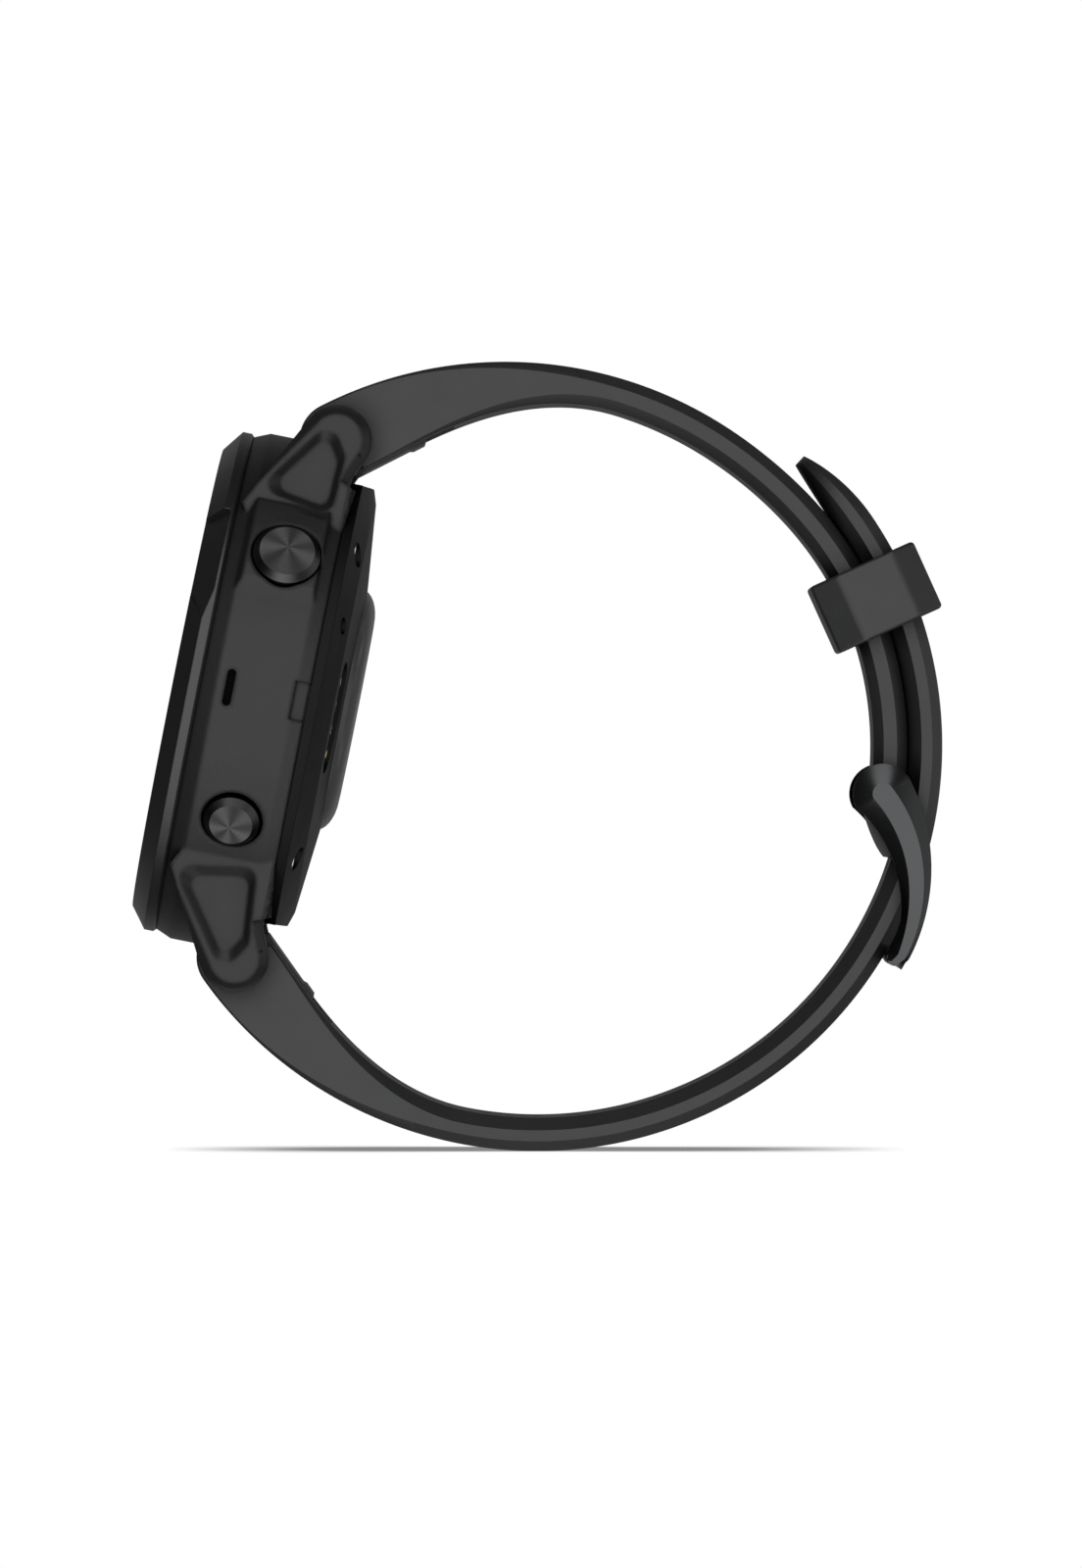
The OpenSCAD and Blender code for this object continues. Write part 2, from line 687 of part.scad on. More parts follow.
function tip_share(a) = let (u = min(1, arc_mm(lower_a1 - a, tail_r) / tip_round))
    tip_width + (1 - tip_width) * chord(1, 1 - u);
function lay_ro(a) = lay_d * dir(a) + chord(lay_r, lay_d[0] * sin(a) - lay_d[1] * cos(a));
function free_ro(a) = upper_r1 + (upper_r0 - upper_r1) * max(0, a) / upper_a0;
function upper_ro(a) = lay_ro(a) + (free_ro(a) - lay_ro(a)) * smooth(lay_a0, lay_a1, a);
function upper_th(a) = strap_th(upper_s(a));
function lower_in(a) = lower_c + (lower_ro(a) - lower_th(a)) * dir(a);
function upper_in(a) = upper_c + (upper_ro(a) - upper_th(a)) * dir(a);

// One bevelled section between an inner and an outer point of the X-Z plane
function section(p, q, y0, y1, b) = let (t = norm(q - p), e = (q - p) / t)
    [for (k = [[0, y0 + b], [b, y0], [t - b, y0], [t, y0 + b],
        [t, y1 - b], [t - b, y1], [b, y1], [0, y1 - b]])
        [p[0] + e[0] * k[0], k[1], p[1] + e[1] * k[0]]];
function lower_ring(a) = let (s = lower_s(a), h = half_w(s) * tip_share(a))
    section(lower_in(a), lower_c + lower_ro(a) * dir(a), -h, h, min(edge(s), bevel_share * lower_th(a)));
function upper_ring(a) = let (s = upper_s(a), h = half_w(s), q = upper_c + upper_ro(a) * dir(a))
    section(upper_in(a), q, -h, h, edge(s));

// Outline of a convex polygon grown by r, with rounded corners
function grown(p, r, steps) = flat([for (i = [0 : len(p) - 1])
    let (n = len(p), a = p[(i + n - 1) % n], b = p[i], c = p[(i + 1) % n], n0 = polar(b - a) - 90,
        turn = (polar(c - b) - 90 - n0 + 720) % 360)
    [for (k = [0 : steps]) b + r * dir(n0 + turn * k / steps)]]);

// Solid through a list of equal rings
module loft(rings) {
    n = len(rings);
    m = len(rings[0]);
    sides = flat([for (k = [0 : n - 2]) flat([for (i = [0 : m - 1])
        let (a = k * m + i, b = k * m + (i + 1) % m) [[a, a + m, b], [b, a + m, b + m]]])]);
    caps = [[for (i = [0 : m - 1]) i], [for (i = [m - 1 : -1 : 0]) (n - 1) * m + i]];
    polyhedron(points = flat(rings), faces = concat(caps, sides));
}

// Coil along z from 0 to l
module coil(l, r, wire, turns) {
    steps = coil_steps * turns;
    loft([for (k = [0 : steps]) let (a = 360 * turns * k / steps, z = wire + (l - 2 * wire) * k / steps)
        [for (i = [0 : coil_sides - 1]) let (b = 360 * i / coil_sides, w = r + wire * cos(b))
            [w * cos(a), w * sin(a), z - wire * sin(b)]]]);
}

module ring(r0, r1, z0, z1) {
    translate([0, 0, z0])
        difference() {
            cylinder(r = r1, h = z1 - z0);
            translate([0, 0, -eps])
                cylinder(r = r0, h = z1 - z0 + 2 * eps);
        }
}

module disc(r, z0, z1) {
    translate([0, 0, z0])
        cylinder(r = r, h = z1 - z0);
}

// Round bar along Y at a point of the X-Z plane, with bevelled ends
module bar_y_axis(p, r, y0, y1, b) {
    translate([p[0], y1, p[1]])
        rotate([90, 0, 0])
            rotate_extrude()
                polygon([[0, 0], [r - b, 0], [r, b], [r, y1 - y0 - b], [r - b, y1 - y0], [0, y1 - y0]]);
}

// Stadium prism along z, long side on x
module slot(l, w, h) {
    linear_extrude(height = h)
        union() {
            square([l - w, w], center = true);
            for (s = [-1, 1])
                translate([s * (l - w) / 2, 0])
                    circle(d = w);
        }
}

module at_head() {
    translate([head_x, 0, head_z])
        rotate([0, tilt - 90, 0])
            rotate([0, 0, -90])
                children();
}

// Key frame: z runs out along the key's axis from the head axis
module at_key(k) {
    rotate([0, 0, k[0]])
        translate([0, 0, -k[1]])
            rotate([0, 90, 0])
                children();
}

// Arc frame: x runs out along the radius, z along the arc
module at_arc(c, a) {
    translate([c[0], 0, c[1]])
        rotate([0, -a, 0])
            children();
}

// Latch frame: x runs along the slide away from the bar, z towards the wrist
module at_upper_latch() {
    a = upper_a0 - latch_sample * taper_deg;
    at_arc(upper_bar_at, polar(upper_in(a) - upper_in(upper_a0)))
        mirror([0, 0, 1])
            children();
}

module at_lower_latch() {
    a = lower_a0 + latch_sample * taper_deg;
    at_arc(lower_bar_at, polar(lower_in(a) - lower_in(lower_a0)))
        children();
}

// Lugs: lean of the outer face, root in the case, recess corners in the frame of the face
upper_lug = [upper_lean, lug_front_y - upper_base_in,
    [recess_side, recess_end, -recess_upper_front, flip(recess_upper_rear)]];
lower_lug = [lower_lean, lug_front_y - lower_base_in,
    [recess_side, recess_end, -recess_lower_front, flip(recess_lower_rear)]];
lug_c = [bar_y, bar_z];
lug_f = [lug_front_y, -lug_front_drop];
lug_g = [lug_root_y, lug_step - mid_h];
lug_fa = polar(lug_f - lug_c) - acos(lug_r / norm(lug_f - lug_c));
lug_ga = polar(lug_g - lug_c) + acos(lug_r / norm(lug_g - lug_c));
function flip(p) = [p[0], -p[1]];

// Lug outline in the y-z plane of the head, leaning with y
function lug_ring(x, lean, base) = let (n = lug_steps,
    arc = [for (k = [0 : n]) lug_c + lug_r * dir(lug_ga + (lug_fa - lug_ga) * k / n)],
    pts = concat([lug_g], arc, [lug_f, [base, -front_bevel_h], [base, lug_g[1]]]))
    [for (p = pts) [x + lean * (lug_tip_y - p[0]), p[0], p[1]]];

// Frame on the leaning face: z out of it, x towards the wrist
module at_lug_face(v, y, z) {
    translate([lug_x1 + v[0] * (lug_tip_y - y), y, z])
        rotate([0, 0, atan(v[0])])
            rotate([0, 90, 0])
                children();
}

// Straight bevel beside the outline edge whose outward normal is at angle a, turned to run out
module edge_bevel(a, y0, l, turn) {
    b = lug_bevel;
    rotate([0, 0, a + 90])
        translate([lug_r, 0, 0])
            rotate([0, 0, -turn])
                translate([0, y0, 0])
                    rotate([-90, 0, 0])
                        linear_extrude(height = l)
                            polygon([[0, b], [-b - far, -far], [far, -far], [far, b]]);
}

// Bevel round the end of a lug: a cone in the middle, a flat on each side
module lug_bevels(v) {
    b = lug_bevel;
    front_l = chord(norm(lug_f - lug_c), lug_r);
    rear_l = chord(norm(lug_g - lug_c), lug_r);
    at_lug_face(v, bar_y, bar_z) {
        intersection() {
            translate([0, 0, -b])
                difference() {
                    cylinder(r = 2 * lug_r, h = 2 * b);
                    translate([0, 0, -eps])
                        cylinder(r1 = lug_r + eps, r2 = lug_r - 2 * b - eps, h = 2 * b + 2 * eps);
                }
            rotate([0, 0, (lug_fa + lug_ga) / 2 + 90])
                translate([lug_r * cos((lug_fa - lug_ga) / 2), -far, -far])
                    cube(2 * far);
        }
        edge_bevel(lug_fa, -b, front_l, atan(b / front_l / bevel_run));
        edge_bevel(lug_ga, -rear_l - b, rear_l + b + eps, 0);
    }
}

// Lug without the part that would stand in the cavity
module lug(v) {
    difference() {
        loft([lug_ring(lug_x0 - root_gap, 0, v[1]), lug_ring(lug_x1, v[0], v[1])]);
        disc((case_r + cavity_r) / 2, -mid_h - far, far);
    }
}

// Triangular recess, cut square to the leaning face and flaring outwards
module lug_recess(v) {
    at_lug_face(v, bar_y - recess_in, bar_z + recess_up)
        translate([0, 0, -recess_d])
            linear_extrude(height = 2 * recess_d, scale = 1 + recess_flare)
                polygon(grown(v[2], recess_r, recess_steps));
}

module lug_cuts(v) {
    lug_recess(v);
    lug_bevels(v);
}

// Room for the rounded strap roots
module root_rooms() {
    for (s = [-1, 1])
        translate([-lug_x0, s * bar_y, bar_z])
            rotate([0, 90, 0])
                cylinder(r = root_r + root_gap, h = 2 * lug_x0);
}

module key_bore(k) {
    at_key(k) {
        disc(k[2] + k[4], well_r, case_r + far);
        disc(stem_r + run_gap, stem_end - far / 4, well_r + eps);
        disc(clip_r + clip_gap, stem_end - far / 4, spot_z);
        disc(stem_r + run_gap / 2 + seal_w, seal_mid - seal_w / 2, seal_mid + seal_w / 2);
    }
}

module gasket_ring(z) {
    ring(rear_gasket_r - rear_gasket_w / 2, rear_gasket_r + rear_gasket_w / 2, z, rear_groove_d - mid_h);
}

// Raised land round the start key, ramped at its lower end
module guard() {
    x = case_r - guard_bevel / 2;
    rotate([0, 0, guard_a0])
        difference() {
            rotate_extrude(angle = guard_sweep)
                polygon([[case_r - guard_bevel, -guard_margin],
                    [case_r + guard_rise, -guard_margin - guard_bevel * 2],
                    [case_r + guard_rise, guard_margin + guard_bevel - mid_h],
                    [case_r - guard_bevel, guard_margin - mid_h]]);
            translate([0, 0, -mid_h])
                linear_extrude(height = mid_h)
                    polygon([[x - guard_rise, -guard_ramp], [x + 2 * guard_rise, -guard_ramp],
                        [x + 2 * guard_rise, 2 * guard_ramp]]);
        }
}

module mid_case() {
    color(graphite)
        at_head()
            difference() {
                union() {
                    rotate_extrude()
                        polygon([[cavity_r, 0], [case_r - front_bevel_in, 0], [case_r, -front_bevel_h],
                            [case_r, rear_bevel_h - mid_h], [case_r - rear_bevel_in, -mid_h],
                            [cavity_r, -mid_h], [cavity_r, ledge_z - ledge_t],
                            [cavity_r - ledge_w, ledge_z - ledge_t], [cavity_r - ledge_w, ledge_z],
                            [cavity_r, ledge_z]]);
                    guard();
                    for (s = [0, 1])
                        mirror([s, 0, 0]) {
                            lug(upper_lug);
                            mirror([0, 1, 0])
                                lug(lower_lug);
                        }
                }
                root_rooms();
                for (s = [0, 1])
                    mirror([s, 0, 0]) {
                        lug_cuts(upper_lug);
                        mirror([0, 1, 0])
                            lug_cuts(lower_lug);
                    }
                for (s = [-1, 1])
                    translate([-lug_x0 - bar_seat, s * bar_y, bar_z])
                        rotate([0, 90, 0])
                            cylinder(r = bar_r, h = 2 * (lug_x0 + bar_seat));
                for (k = KEYS)
                    key_bore(k);
                gasket_ring(-mid_h - eps);
                at_screws()
                    disc(screw_r, -mid_h - eps, screw_l - mid_h);
                translate([case_r - vent_d, 0, -vent_drop])
                    rotate([0, 90, 0])
                        rotate([0, 0, 90])
                            slot(vent_l, vent_h, far);
                translate([case_r - notch_d, -notch_l / 2, -mid_h - eps])
                    cube([far, notch_l, notch_h]);
            }
}

// Wider facet at a key mark, with a planar run-out towards 3 o'clock
module mark_facet() {
    top = bezel_h + eps;
    out = bezel_r + eps;
    chamfer_z = bezel_h - bezel_chamfer_h;
    r0 = bezel_flat_r - facet_in;
    a = facet_run;
    rotate([0, 0, guard_a0])
        rotate_extrude(angle = guard_sweep - facet_short)
            polygon([[r0, top], [out, rim_h], [out + far, rim_h], [out + far, top + far]]);
    rotate([0, 0, guard_a0 + eps])
        polyhedron(points = [[r0, 0, top], [out, 0, rim_h], [out * cos(a), -out * sin(a), chamfer_z],
            [out + far, 0, top + far]],
            faces = [[0, 2, 1], [0, 1, 3], [1, 2, 3], [0, 3, 2]]);
}

module bezel() {
    color(black)
        at_head()
            difference() {
                rotate_extrude()
                    polygon([[spigot_r - spigot_w, -spigot_h], [spigot_r, -spigot_h], [spigot_r, 0],
                        [bezel_r - gasket_t, 0], [bezel_r, gasket_t], [bezel_r, bezel_h - bezel_chamfer_h],
                        [bezel_flat_r, bezel_h], [lens_r + lens_gap, bezel_h],
                        [lens_r + lens_gap, lens_seat_z], [spigot_r - spigot_w, lens_seat_z]]);
                mark_facet();
                mirror([1, 0, 0])
                    mark_facet();
            }
}

module lens() {
    color([0.3, 0.32, 0.34, 0.4])
        at_head()
            translate([0, 0, lens_z])
                rotate_extrude()
                    polygon([[0, 0], [lens_r, 0], [lens_r, lens_t - lens_chamfer],
                        [lens_r - lens_chamfer, lens_t], [0, lens_t]]);
}

module lens_gasket() {
    color(black)
        at_head()
            ring(spigot_r - spigot_w + lens_gap, lens_r - lens_chamfer, lens_seat_z, lens_z);
}

module display() {
    color([0.03, 0.03, 0.04])
        at_head()
            difference() {
                disc(display_r, display_z, lens_z);
                ring(display_r - border_w, display_r - border_w + lens_gap, lens_z - lens_gap, lens_z + eps);
            }
}

module display_carrier() {
    color(graphite)
        at_head() {
            disc(carrier_r, display_z - carrier_t, display_z);
            ring(carrier_r - carrier_w, carrier_r, -board_drop, display_z - carrier_t + eps);
        }
}

module main_board() {
    color(board_green)
        at_head()
            difference() {
                disc(cavity_r - board_gap, ledge_z, -board_drop);
                for (a = [90, 270])
                    rotate([0, 0, a])
                        translate([cavity_r, 0, ledge_z - eps])
                            disc(ledge_w, 0, board_t + 2 * eps);
            }
}

// Each chip: centre and sides as shares of the largest chip's length
CHIPS = [[-0.62, 0.38, 1, 1], [0.62, 0.5, 0.75, 0.75], [0.5, -0.62, 0.9, 0.6], [-0.75, -0.75, 0.6, 0.6]];

module board_chips() {
    color(black)
        at_head()
            for (c = chip_l * CHIPS)
                translate([c[0] - c[2] / 2, c[1] - c[3] / 2, -board_drop])
                    cube([c[2], c[3], chip_h]);
}

module battery() {
    color(steel)
        at_head()
            difference() {
                translate([0, 0, ledge_z - battery_h])
                    rotate_extrude()
                        polygon([[0, 0], [battery_r - battery_edge, 0], [battery_r, battery_edge],
                            [battery_r, battery_h - battery_edge], [battery_r - battery_edge, battery_h],
                            [0, battery_h]]);
                translate([-battery_r, -battery_flat - battery_r, ledge_z - battery_h - eps])
                    cube([2 * battery_r, battery_r, battery_h + 2 * eps]);
            }
}

module at_motor() {
    at_head()
        translate([0, -motor_y, ledge_z - motor_h])
            children();
}

module motor_can() {
    color(steel)
        at_motor() {
            difference() {
                disc(motor_r, 0, motor_h);
                disc(motor_r - motor_wall, motor_wall, motor_h - motor_wall);
            }
            disc(motor_shaft_r, motor_wall - eps, motor_h - motor_wall + eps);
        }
}

module motor_rotor() {
    w = motor_r - motor_wall - rotor_gap;
    color([0.45, 0.4, 0.3])
        at_motor()
            difference() {
                union() {
                    intersection() {
                        disc(w, motor_wall + rotor_gap, motor_h - motor_wall - rotor_gap);
                        translate([-w, 0, 0])
                            cube([2 * w, w, motor_h]);
                    }
                    disc(hub_r, motor_wall + rotor_gap, motor_h - motor_wall - rotor_gap);
                }
                disc(motor_shaft_r + run_gap, 0, motor_h);
            }
}

module side_switches() {
    color(graphite)
        at_head()
            for (k = KEYS)
                rotate([0, 0, k[0]])
                    translate([stem_end - key_travel - switch_gap - switch_d, -switch_w / 2, -k[1] - stem_r])
                        cube([switch_d, switch_w, k[1] + stem_r + ledge_z]);
}

module at_screws() {
    for (a = [screw_a, -screw_a, 180 - screw_a, 180 + screw_a])
        rotate([0, 0, a])
            translate([screw_ring, 0, 0])
                children();
}

// Slope height of the rear cover at a radius
function slope_at(r) = slope_z - slope_h * (rear_r - r) / (rear_r - slope_r);
screw_seat = slope_at(screw_ring) + screw_head_h + socket_r / 2;
charge_floor = crown_z + charge_d;

module rear_cover() {
    color(black)
        at_head()
            difference() {
                rotate_extrude()
                    polygon([[sensor_r, cover_in_z], [sensor_r, sensor_z], [slope_r, crown_z],
                        [rear_r, slope_z], [rear_r, -mid_h], [spigot_r, -mid_h], [spigot_r, plate_t - mid_h],
                        [spigot_r - spigot_w, plate_t - mid_h], [spigot_r - spigot_w, cover_in_z]]);
                for (s = [0, 1])
                    mirror([0, s, 0])
                        translate([-lug_x0, rear_flat_y, crown_z - far])
                            cube([2 * lug_x0, far, far + mid_h]);
                at_screws() {
                    disc(screw_head_r + lens_gap, crown_z - far, screw_seat);
                    disc(screw_r, crown_z, eps - mid_h);
                }
                rotate([0, 0, port_a])
                    translate([screw_ring, 0, 0])
                        disc(port_r, crown_z - far, screw_seat);
                translate([charge_x, -charge_y, crown_z - far])
                    rotate([0, 0, 90])
                        slot(charge_l, charge_w, charge_floor - crown_z + far);
            }
}

module rear_gasket() {
    color(black)
        at_head()
            gasket_ring(-mid_h);
}

module rear_screws() {
    color(steel)
        at_head()
            at_screws()
                difference() {
                    union() {
                        disc(screw_head_r, screw_seat - screw_head_h, screw_seat);
                        disc(screw_r, screw_seat - eps, screw_l - mid_h);
                    }
                    translate([0, 0, screw_seat - screw_head_h - eps])
                        cylinder(r = socket_r, h = socket_d, $fn = 6);
                }
}

module sensor_lens() {
    foot_z = sensor_z + sensor_wall / 3;
    dome_h = foot_z - sensor_z + sensor_h;
    color([0.24, 0.24, 0.26])
        at_head()
            difference() {
                rotate_extrude()
                    polygon(concat([[0, lens_back_z], [sensor_r, lens_back_z]],
                        [for (k = [0 : dome_steps]) let (a = 90 * k / dome_steps)
                            [sensor_r - sensor_edge * (1 - cos(a)), foot_z - dome_h * sin(a)]],
                        [[0, sensor_z - sensor_h]]));
                disc(sensor_r - sensor_wall, sensor_z - sensor_h + sensor_wall, lens_back_z + eps);
            }
}

module sensor_board() {
    color(board_green)
        at_head()
            disc(sensor_r - sensor_wall / 2, lens_back_z, lens_back_z + sensor_board_t);
}

module sensor_lights() {
    color([0.7, 0.75, 0.6])
        at_head()
            for (a = [0 : 360 / leds : 359])
                rotate([0, 0, a])
                    translate([led_ring - led_l / 2, -led_l / 2, lens_back_z - led_h])
                        cube([led_l, led_l, led_h]);
}

module charge_contacts() {
    mid = (contacts - 1) / 2;
    color([0.75, 0.65, 0.35])
        at_head()
            for (k = [0 : contacts - 1])
                translate([charge_x, (k - mid) * contact_pitch - charge_y, charge_floor - contact_h])
                    cylinder(r = contact_r, h = contact_h);
}

module vent_membrane() {
    color(black)
        at_head()
            translate([case_r - vent_d, 0, -vent_drop])
                rotate([0, 90, 0])
                    rotate([0, 0, 90])
                        slot(vent_l, vent_h, membrane_t);
}

module button(k) {
    z0 = case_r - cap_sink;
    z1 = case_r + k[3];
    w = spring_wire + spring_room;
    color(steel)
        at_head()
            at_key(k)
                difference() {
                    rotate_extrude()
                        polygon([[0, stem_end], [stem_r, stem_end], [stem_r, clip_z],
                            [stem_r - clip_groove, clip_z], [stem_r - clip_groove, clip_z + clip_t],
                            [stem_r, clip_z + clip_t], [stem_r, z0], [k[2], z0], [k[2], z1 - cap_chamfer],
                            [k[2] - cap_chamfer, z1], [0, z1]]);
                    ring(spring_r - w, spring_r + w, z0 - eps, z0 + pocket_d);
                }
}

module stem_clip(k) {
    color(steel)
        at_head()
            at_key(k)
                difference() {
                    ring(stem_r - clip_groove, clip_r, clip_z, clip_z + clip_t);
                    translate([0, -clip_groove, clip_z - eps])
                        cube([clip_r * 2, 2 * clip_groove, clip_t + 2 * eps]);
                }
}

module key_spring(k) {
    color(steel)
        at_head()
            at_key(k)
                translate([0, 0, well_r])
                    coil(case_r - cap_sink + pocket_d - well_r, spring_r, spring_wire, spring_turns);
}

module stem_seals() {
    r = stem_r + run_gap / 2;
    color(black)
        at_head()
            for (k = KEYS)
                at_key(k)
                    ring(r, r + seal_w, seal_mid - seal_w / 2, seal_mid + seal_w / 2);
}

module strap_bar(s) {
    color(steel)
        at_head()
            translate([bar_slack - lug_x0 - bar_seat, s * bar_y, bar_z])
                rotate([0, 90, 0])
                    cylinder(r = bar_r, h = 2 * (lug_x0 + bar_seat - bar_slack));
}

// Bore, hook opening and latch pocket of a strap root, in the latch frame
module hook_cut() {
    w = bar_r + hook_gap;
    y = strap_w / 2 + far;
    rotate([90, 0, 0])
        translate([0, 0, -y])
            cylinder(r = w, h = 2 * y);
    translate([-w, -y, 0])
        cube([2 * w, 2 * y, far]);
    end = latch_l + latch_travel + latch_gap;
    translate([-latch_nose - latch_gap, -latch_w / 2 - rail_w - latch_gap, rail_z - latch_gap])
        cube([latch_nose + latch_gap + end, latch_w + 2 * (rail_w + latch_gap), rail_t + 2 * latch_gap]);
    translate([-far, -latch_w / 2 - latch_gap, rail_z])
        cube([far + end, latch_w + 2 * latch_gap, far]);
    translate([latch_l, 0, rail_z + rail_t / 2])
        rotate([0, 90, 0])
            cylinder(r = latch_spring_r + latch_wire + latch_gap, h = latch_spring_l);
}

module latch_body() {
    l = latch_l + latch_nose;
    z1 = latch_top - rib_h / 2;
    translate([-latch_nose, -latch_w / 2 - rail_w, rail_z])
        cube([l, latch_w + 2 * rail_w, rail_t]);
    translate([0, latch_w / 2, 0])
        rotate([90, 0, 0])
            linear_extrude(height = latch_w)
                polygon([[-latch_nose, rail_z], [latch_l, rail_z], [latch_l, latch_top - rib_h],
                    [latch_l - rib_h, latch_top], [latch_l - rib_h - rib_w, latch_top],
                    [latch_l - 2 * rib_h - rib_w, z1], [0, z1],
                    [-latch_nose, rail_z + rail_t]]);
}

// Lip under the pin: leaves the strap end along its tangent and curves to the tail
function bend(a, b, c, t) = (1 - t) * (1 - t) * a + 2 * t * (1 - t) * b + t * t * c;
function lip_outline() = let (a = pin_at + barrel_r * dir(lip_a0), c = lip_at - [lip_t, 0])
    concat([pin_at], [for (k = [0 : lip_steps]) bend(a, a + lip_run * dir(lip_a0 + 90), c, k / lip_steps)],
        [lip_at, pin_at + barrel_r * dir(lip_a1)]);

module root_bar(at) {
    y = strap_w / 2 - root_inset;
    bar_y_axis(at, root_r, -y, y, root_bevel);
}

module upper_strap() {
    y = tail_w / 2;
    w = tongue_w / 2 + tongue_gap;
    n = upper_rings;
    color(black)
        difference() {
            union() {
                loft([for (k = [0 : n]) upper_ring(upper_a1 + (upper_a0 - upper_a1) * k / n)]);
                root_bar(upper_bar_at);
                bar_y_axis(pin_at, barrel_r, -y, y, strap_bevel / 2);
                translate([0, y - strap_bevel / 2, 0])
                    rotate([90, 0, 0])
                        linear_extrude(height = 2 * y - strap_bevel)
                            polygon(lip_outline());
            }
            at_upper_latch()
                hook_cut();
            bar_y_axis(pin_at, pin_r + run_gap, -y - far, y + far, 0);
            bar_y_axis(pin_at, barrel_r + barrel_gap, -w, w, 0);
            translate([pin_at[0] - barrel_r, -w, lip_z - far])
                cube([far, 2 * w, lip_l + far]);
        }
}

module lower_strap() {
    run = lower_a1 - tip_deg - lower_a0;
    body = [for (k = [0 : lower_rings]) lower_a0 + run * k / lower_rings];
    tip = [for (k = [1 : tip_rings]) lower_a1 - tip_deg * pow(1 - k / tip_rings, 2)];
    color(black)
        difference() {
            union() {
                loft([for (a = concat(body, tip)) lower_ring(a)]);
                root_bar(lower_bar_at);
            }
            at_lower_latch()
                hook_cut();
            for (k = [-holes_back : holes_on])
                at_arc(lower_c, hole_deg + k * hole_step)
                    translate([lower_r - far / 2, 0, 0])
                        rotate([0, 90, 0])
                            slot(hole_l, hole_w, far);
        }
}

module upper_latch() {
    color(graphite)
        at_upper_latch()
            latch_body();
}

module lower_latch() {
    color(graphite)
        at_lower_latch()
            latch_body();
}

module latch_spring() {
    color(steel)
        translate([latch_l, 0, rail_z + rail_t / 2])
            rotate([0, 90, 0])
                coil(latch_spring_l, latch_spring_r, latch_wire, latch_turns);
}

module upper_latch_spring() {
    at_upper_latch()
        latch_spring();
}

module lower_latch_spring() {
    at_lower_latch()
        latch_spring();
}

// Keeper section, shrunk by d, at height h
function keeper_ring(a, b, y, d, h) = let (i = keeper_bevel_in, o = keeper_bevel_out, f = keeper_bevel_y)
    [for (p = [[a + d, f - y], [a + i, d - y], [b - o, d - y], [b - d, f - y],
        [b - d, y - f], [b - o, y - d], [a + i, y - d], [a + d, y - f]]) [p[0], p[1], h]];

// Soft loop over both strap layers, drawn in the arc frame
module keeper() {
    e = dir(keeper_deg);
    sag = keeper_l * keeper_l / 8 / lower_r;
    x0 = upper_ro(keeper_deg) - strap_t + (upper_c - keeper_c) * e - sag - keeper_gap;
    x1 = lower_ro(keeper_deg + 360) + (lower_c - keeper_c) * e + keeper_gap;
    y0 = tail_w / 2 + keeper_gap;
    y1 = y0 + keeper_side;
    h1 = keeper_l / 2;
    h0 = h1 - keeper_edge;
    color(black)
        at_arc(keeper_c, keeper_deg)
            difference() {
                loft([for (z = [[keeper_edge, -h1], [0, -h0], [0, h0], [keeper_edge, h1]])
                    keeper_ring(x0 - keeper_in, x1 + keeper_out, y1, z[0], z[1])]);
                translate([x0, -y0, -keeper_l])
                    cube([x1 - x0, 2 * y0, 2 * keeper_l]);
            }
}

// Width of a buckle arm, its flat strip and its outer bevel along the curve
function arm_end(a) = 1 - smooth(bow_a1, bow_a1 + arm_round_deg, a);
function arm_u(a) = (a - bow_a1) / (bow_a0 - bow_a1);
function arm_w(a) = arm_tip - arm_tip * arm_round * arm_end(a)
    + (2 * head_r - arm_tip) * pow(max(0, (a + bow_blend - bow_a0) / bow_blend), arm_power);
function arm_r(a) = bow_r - arm_tip * arm_round / 2 * arm_end(a);
function arm_strip(a) = strip_tip + (strip_head - strip_tip) * pow(arm_u(a), strip_power);
function arm_band(a) = band_tip + (head_r - strip_head / 2 - band_tip) * pow(arm_u(a), 2);
function arm_top(a) = arm_y1 - strip_fall * (1 - smooth(bow_a1, bow_a1 + strip_fall_deg, a));

// Arm section from an inner point p along e: width w, bevel i inside and o outside, strip at height y
function arm_section(p, e, w, i, o, y) = let (b = min(arm_bevel, w / 3), rim = arm_y1 - arm_slope)
    [for (k = [[0, arm_y0 + b], [b, arm_y0], [w - b, arm_y0], [w, arm_y0 + b],
        [w, rim], [w - o, y], [i, y], [0, rim]])
        [p[0] + e[0] * k[0], k[1], p[1] + e[1] * k[0]]];
function arm_ring(a) = let (w = arm_w(a), o = arm_band(a), i = w - o - arm_strip(a))
    arm_section(bow_c + (arm_r(a) - w) * dir(a), dir(a), w, i, o, arm_top(a));

// Round head past the pin: d is the distance from the pin's centre along the curve
function head_ring(d) = let (e = dir(bow_a0), f = strip_head / 2, h = chord(head_r, d),
    i = h - min(chord(f, min(d, strip_close * f)), h / 2),
    y = arm_y1 - arm_slope * max(0, d - f) / (head_r - f))
    arm_section(pin_at + d * dir(bow_a0 + 90) - h * e, e, 2 * h, i, i, y);

module buckle_arm() {
    arm = [for (k = [0 : arm_rings]) arm_ring(bow_a1 + (bow_a0 - bow_a1) * k / arm_rings)];
    head = [for (k = [1 : head_rings]) head_ring(head_r * sin(head_sweep * k / head_rings))];
    difference() {
        loft(concat(arm, head));
        bar_y_axis(pin_at, pin_r, arm_y0 - far, arm_y1 - pin_cover, 0);
    }
}

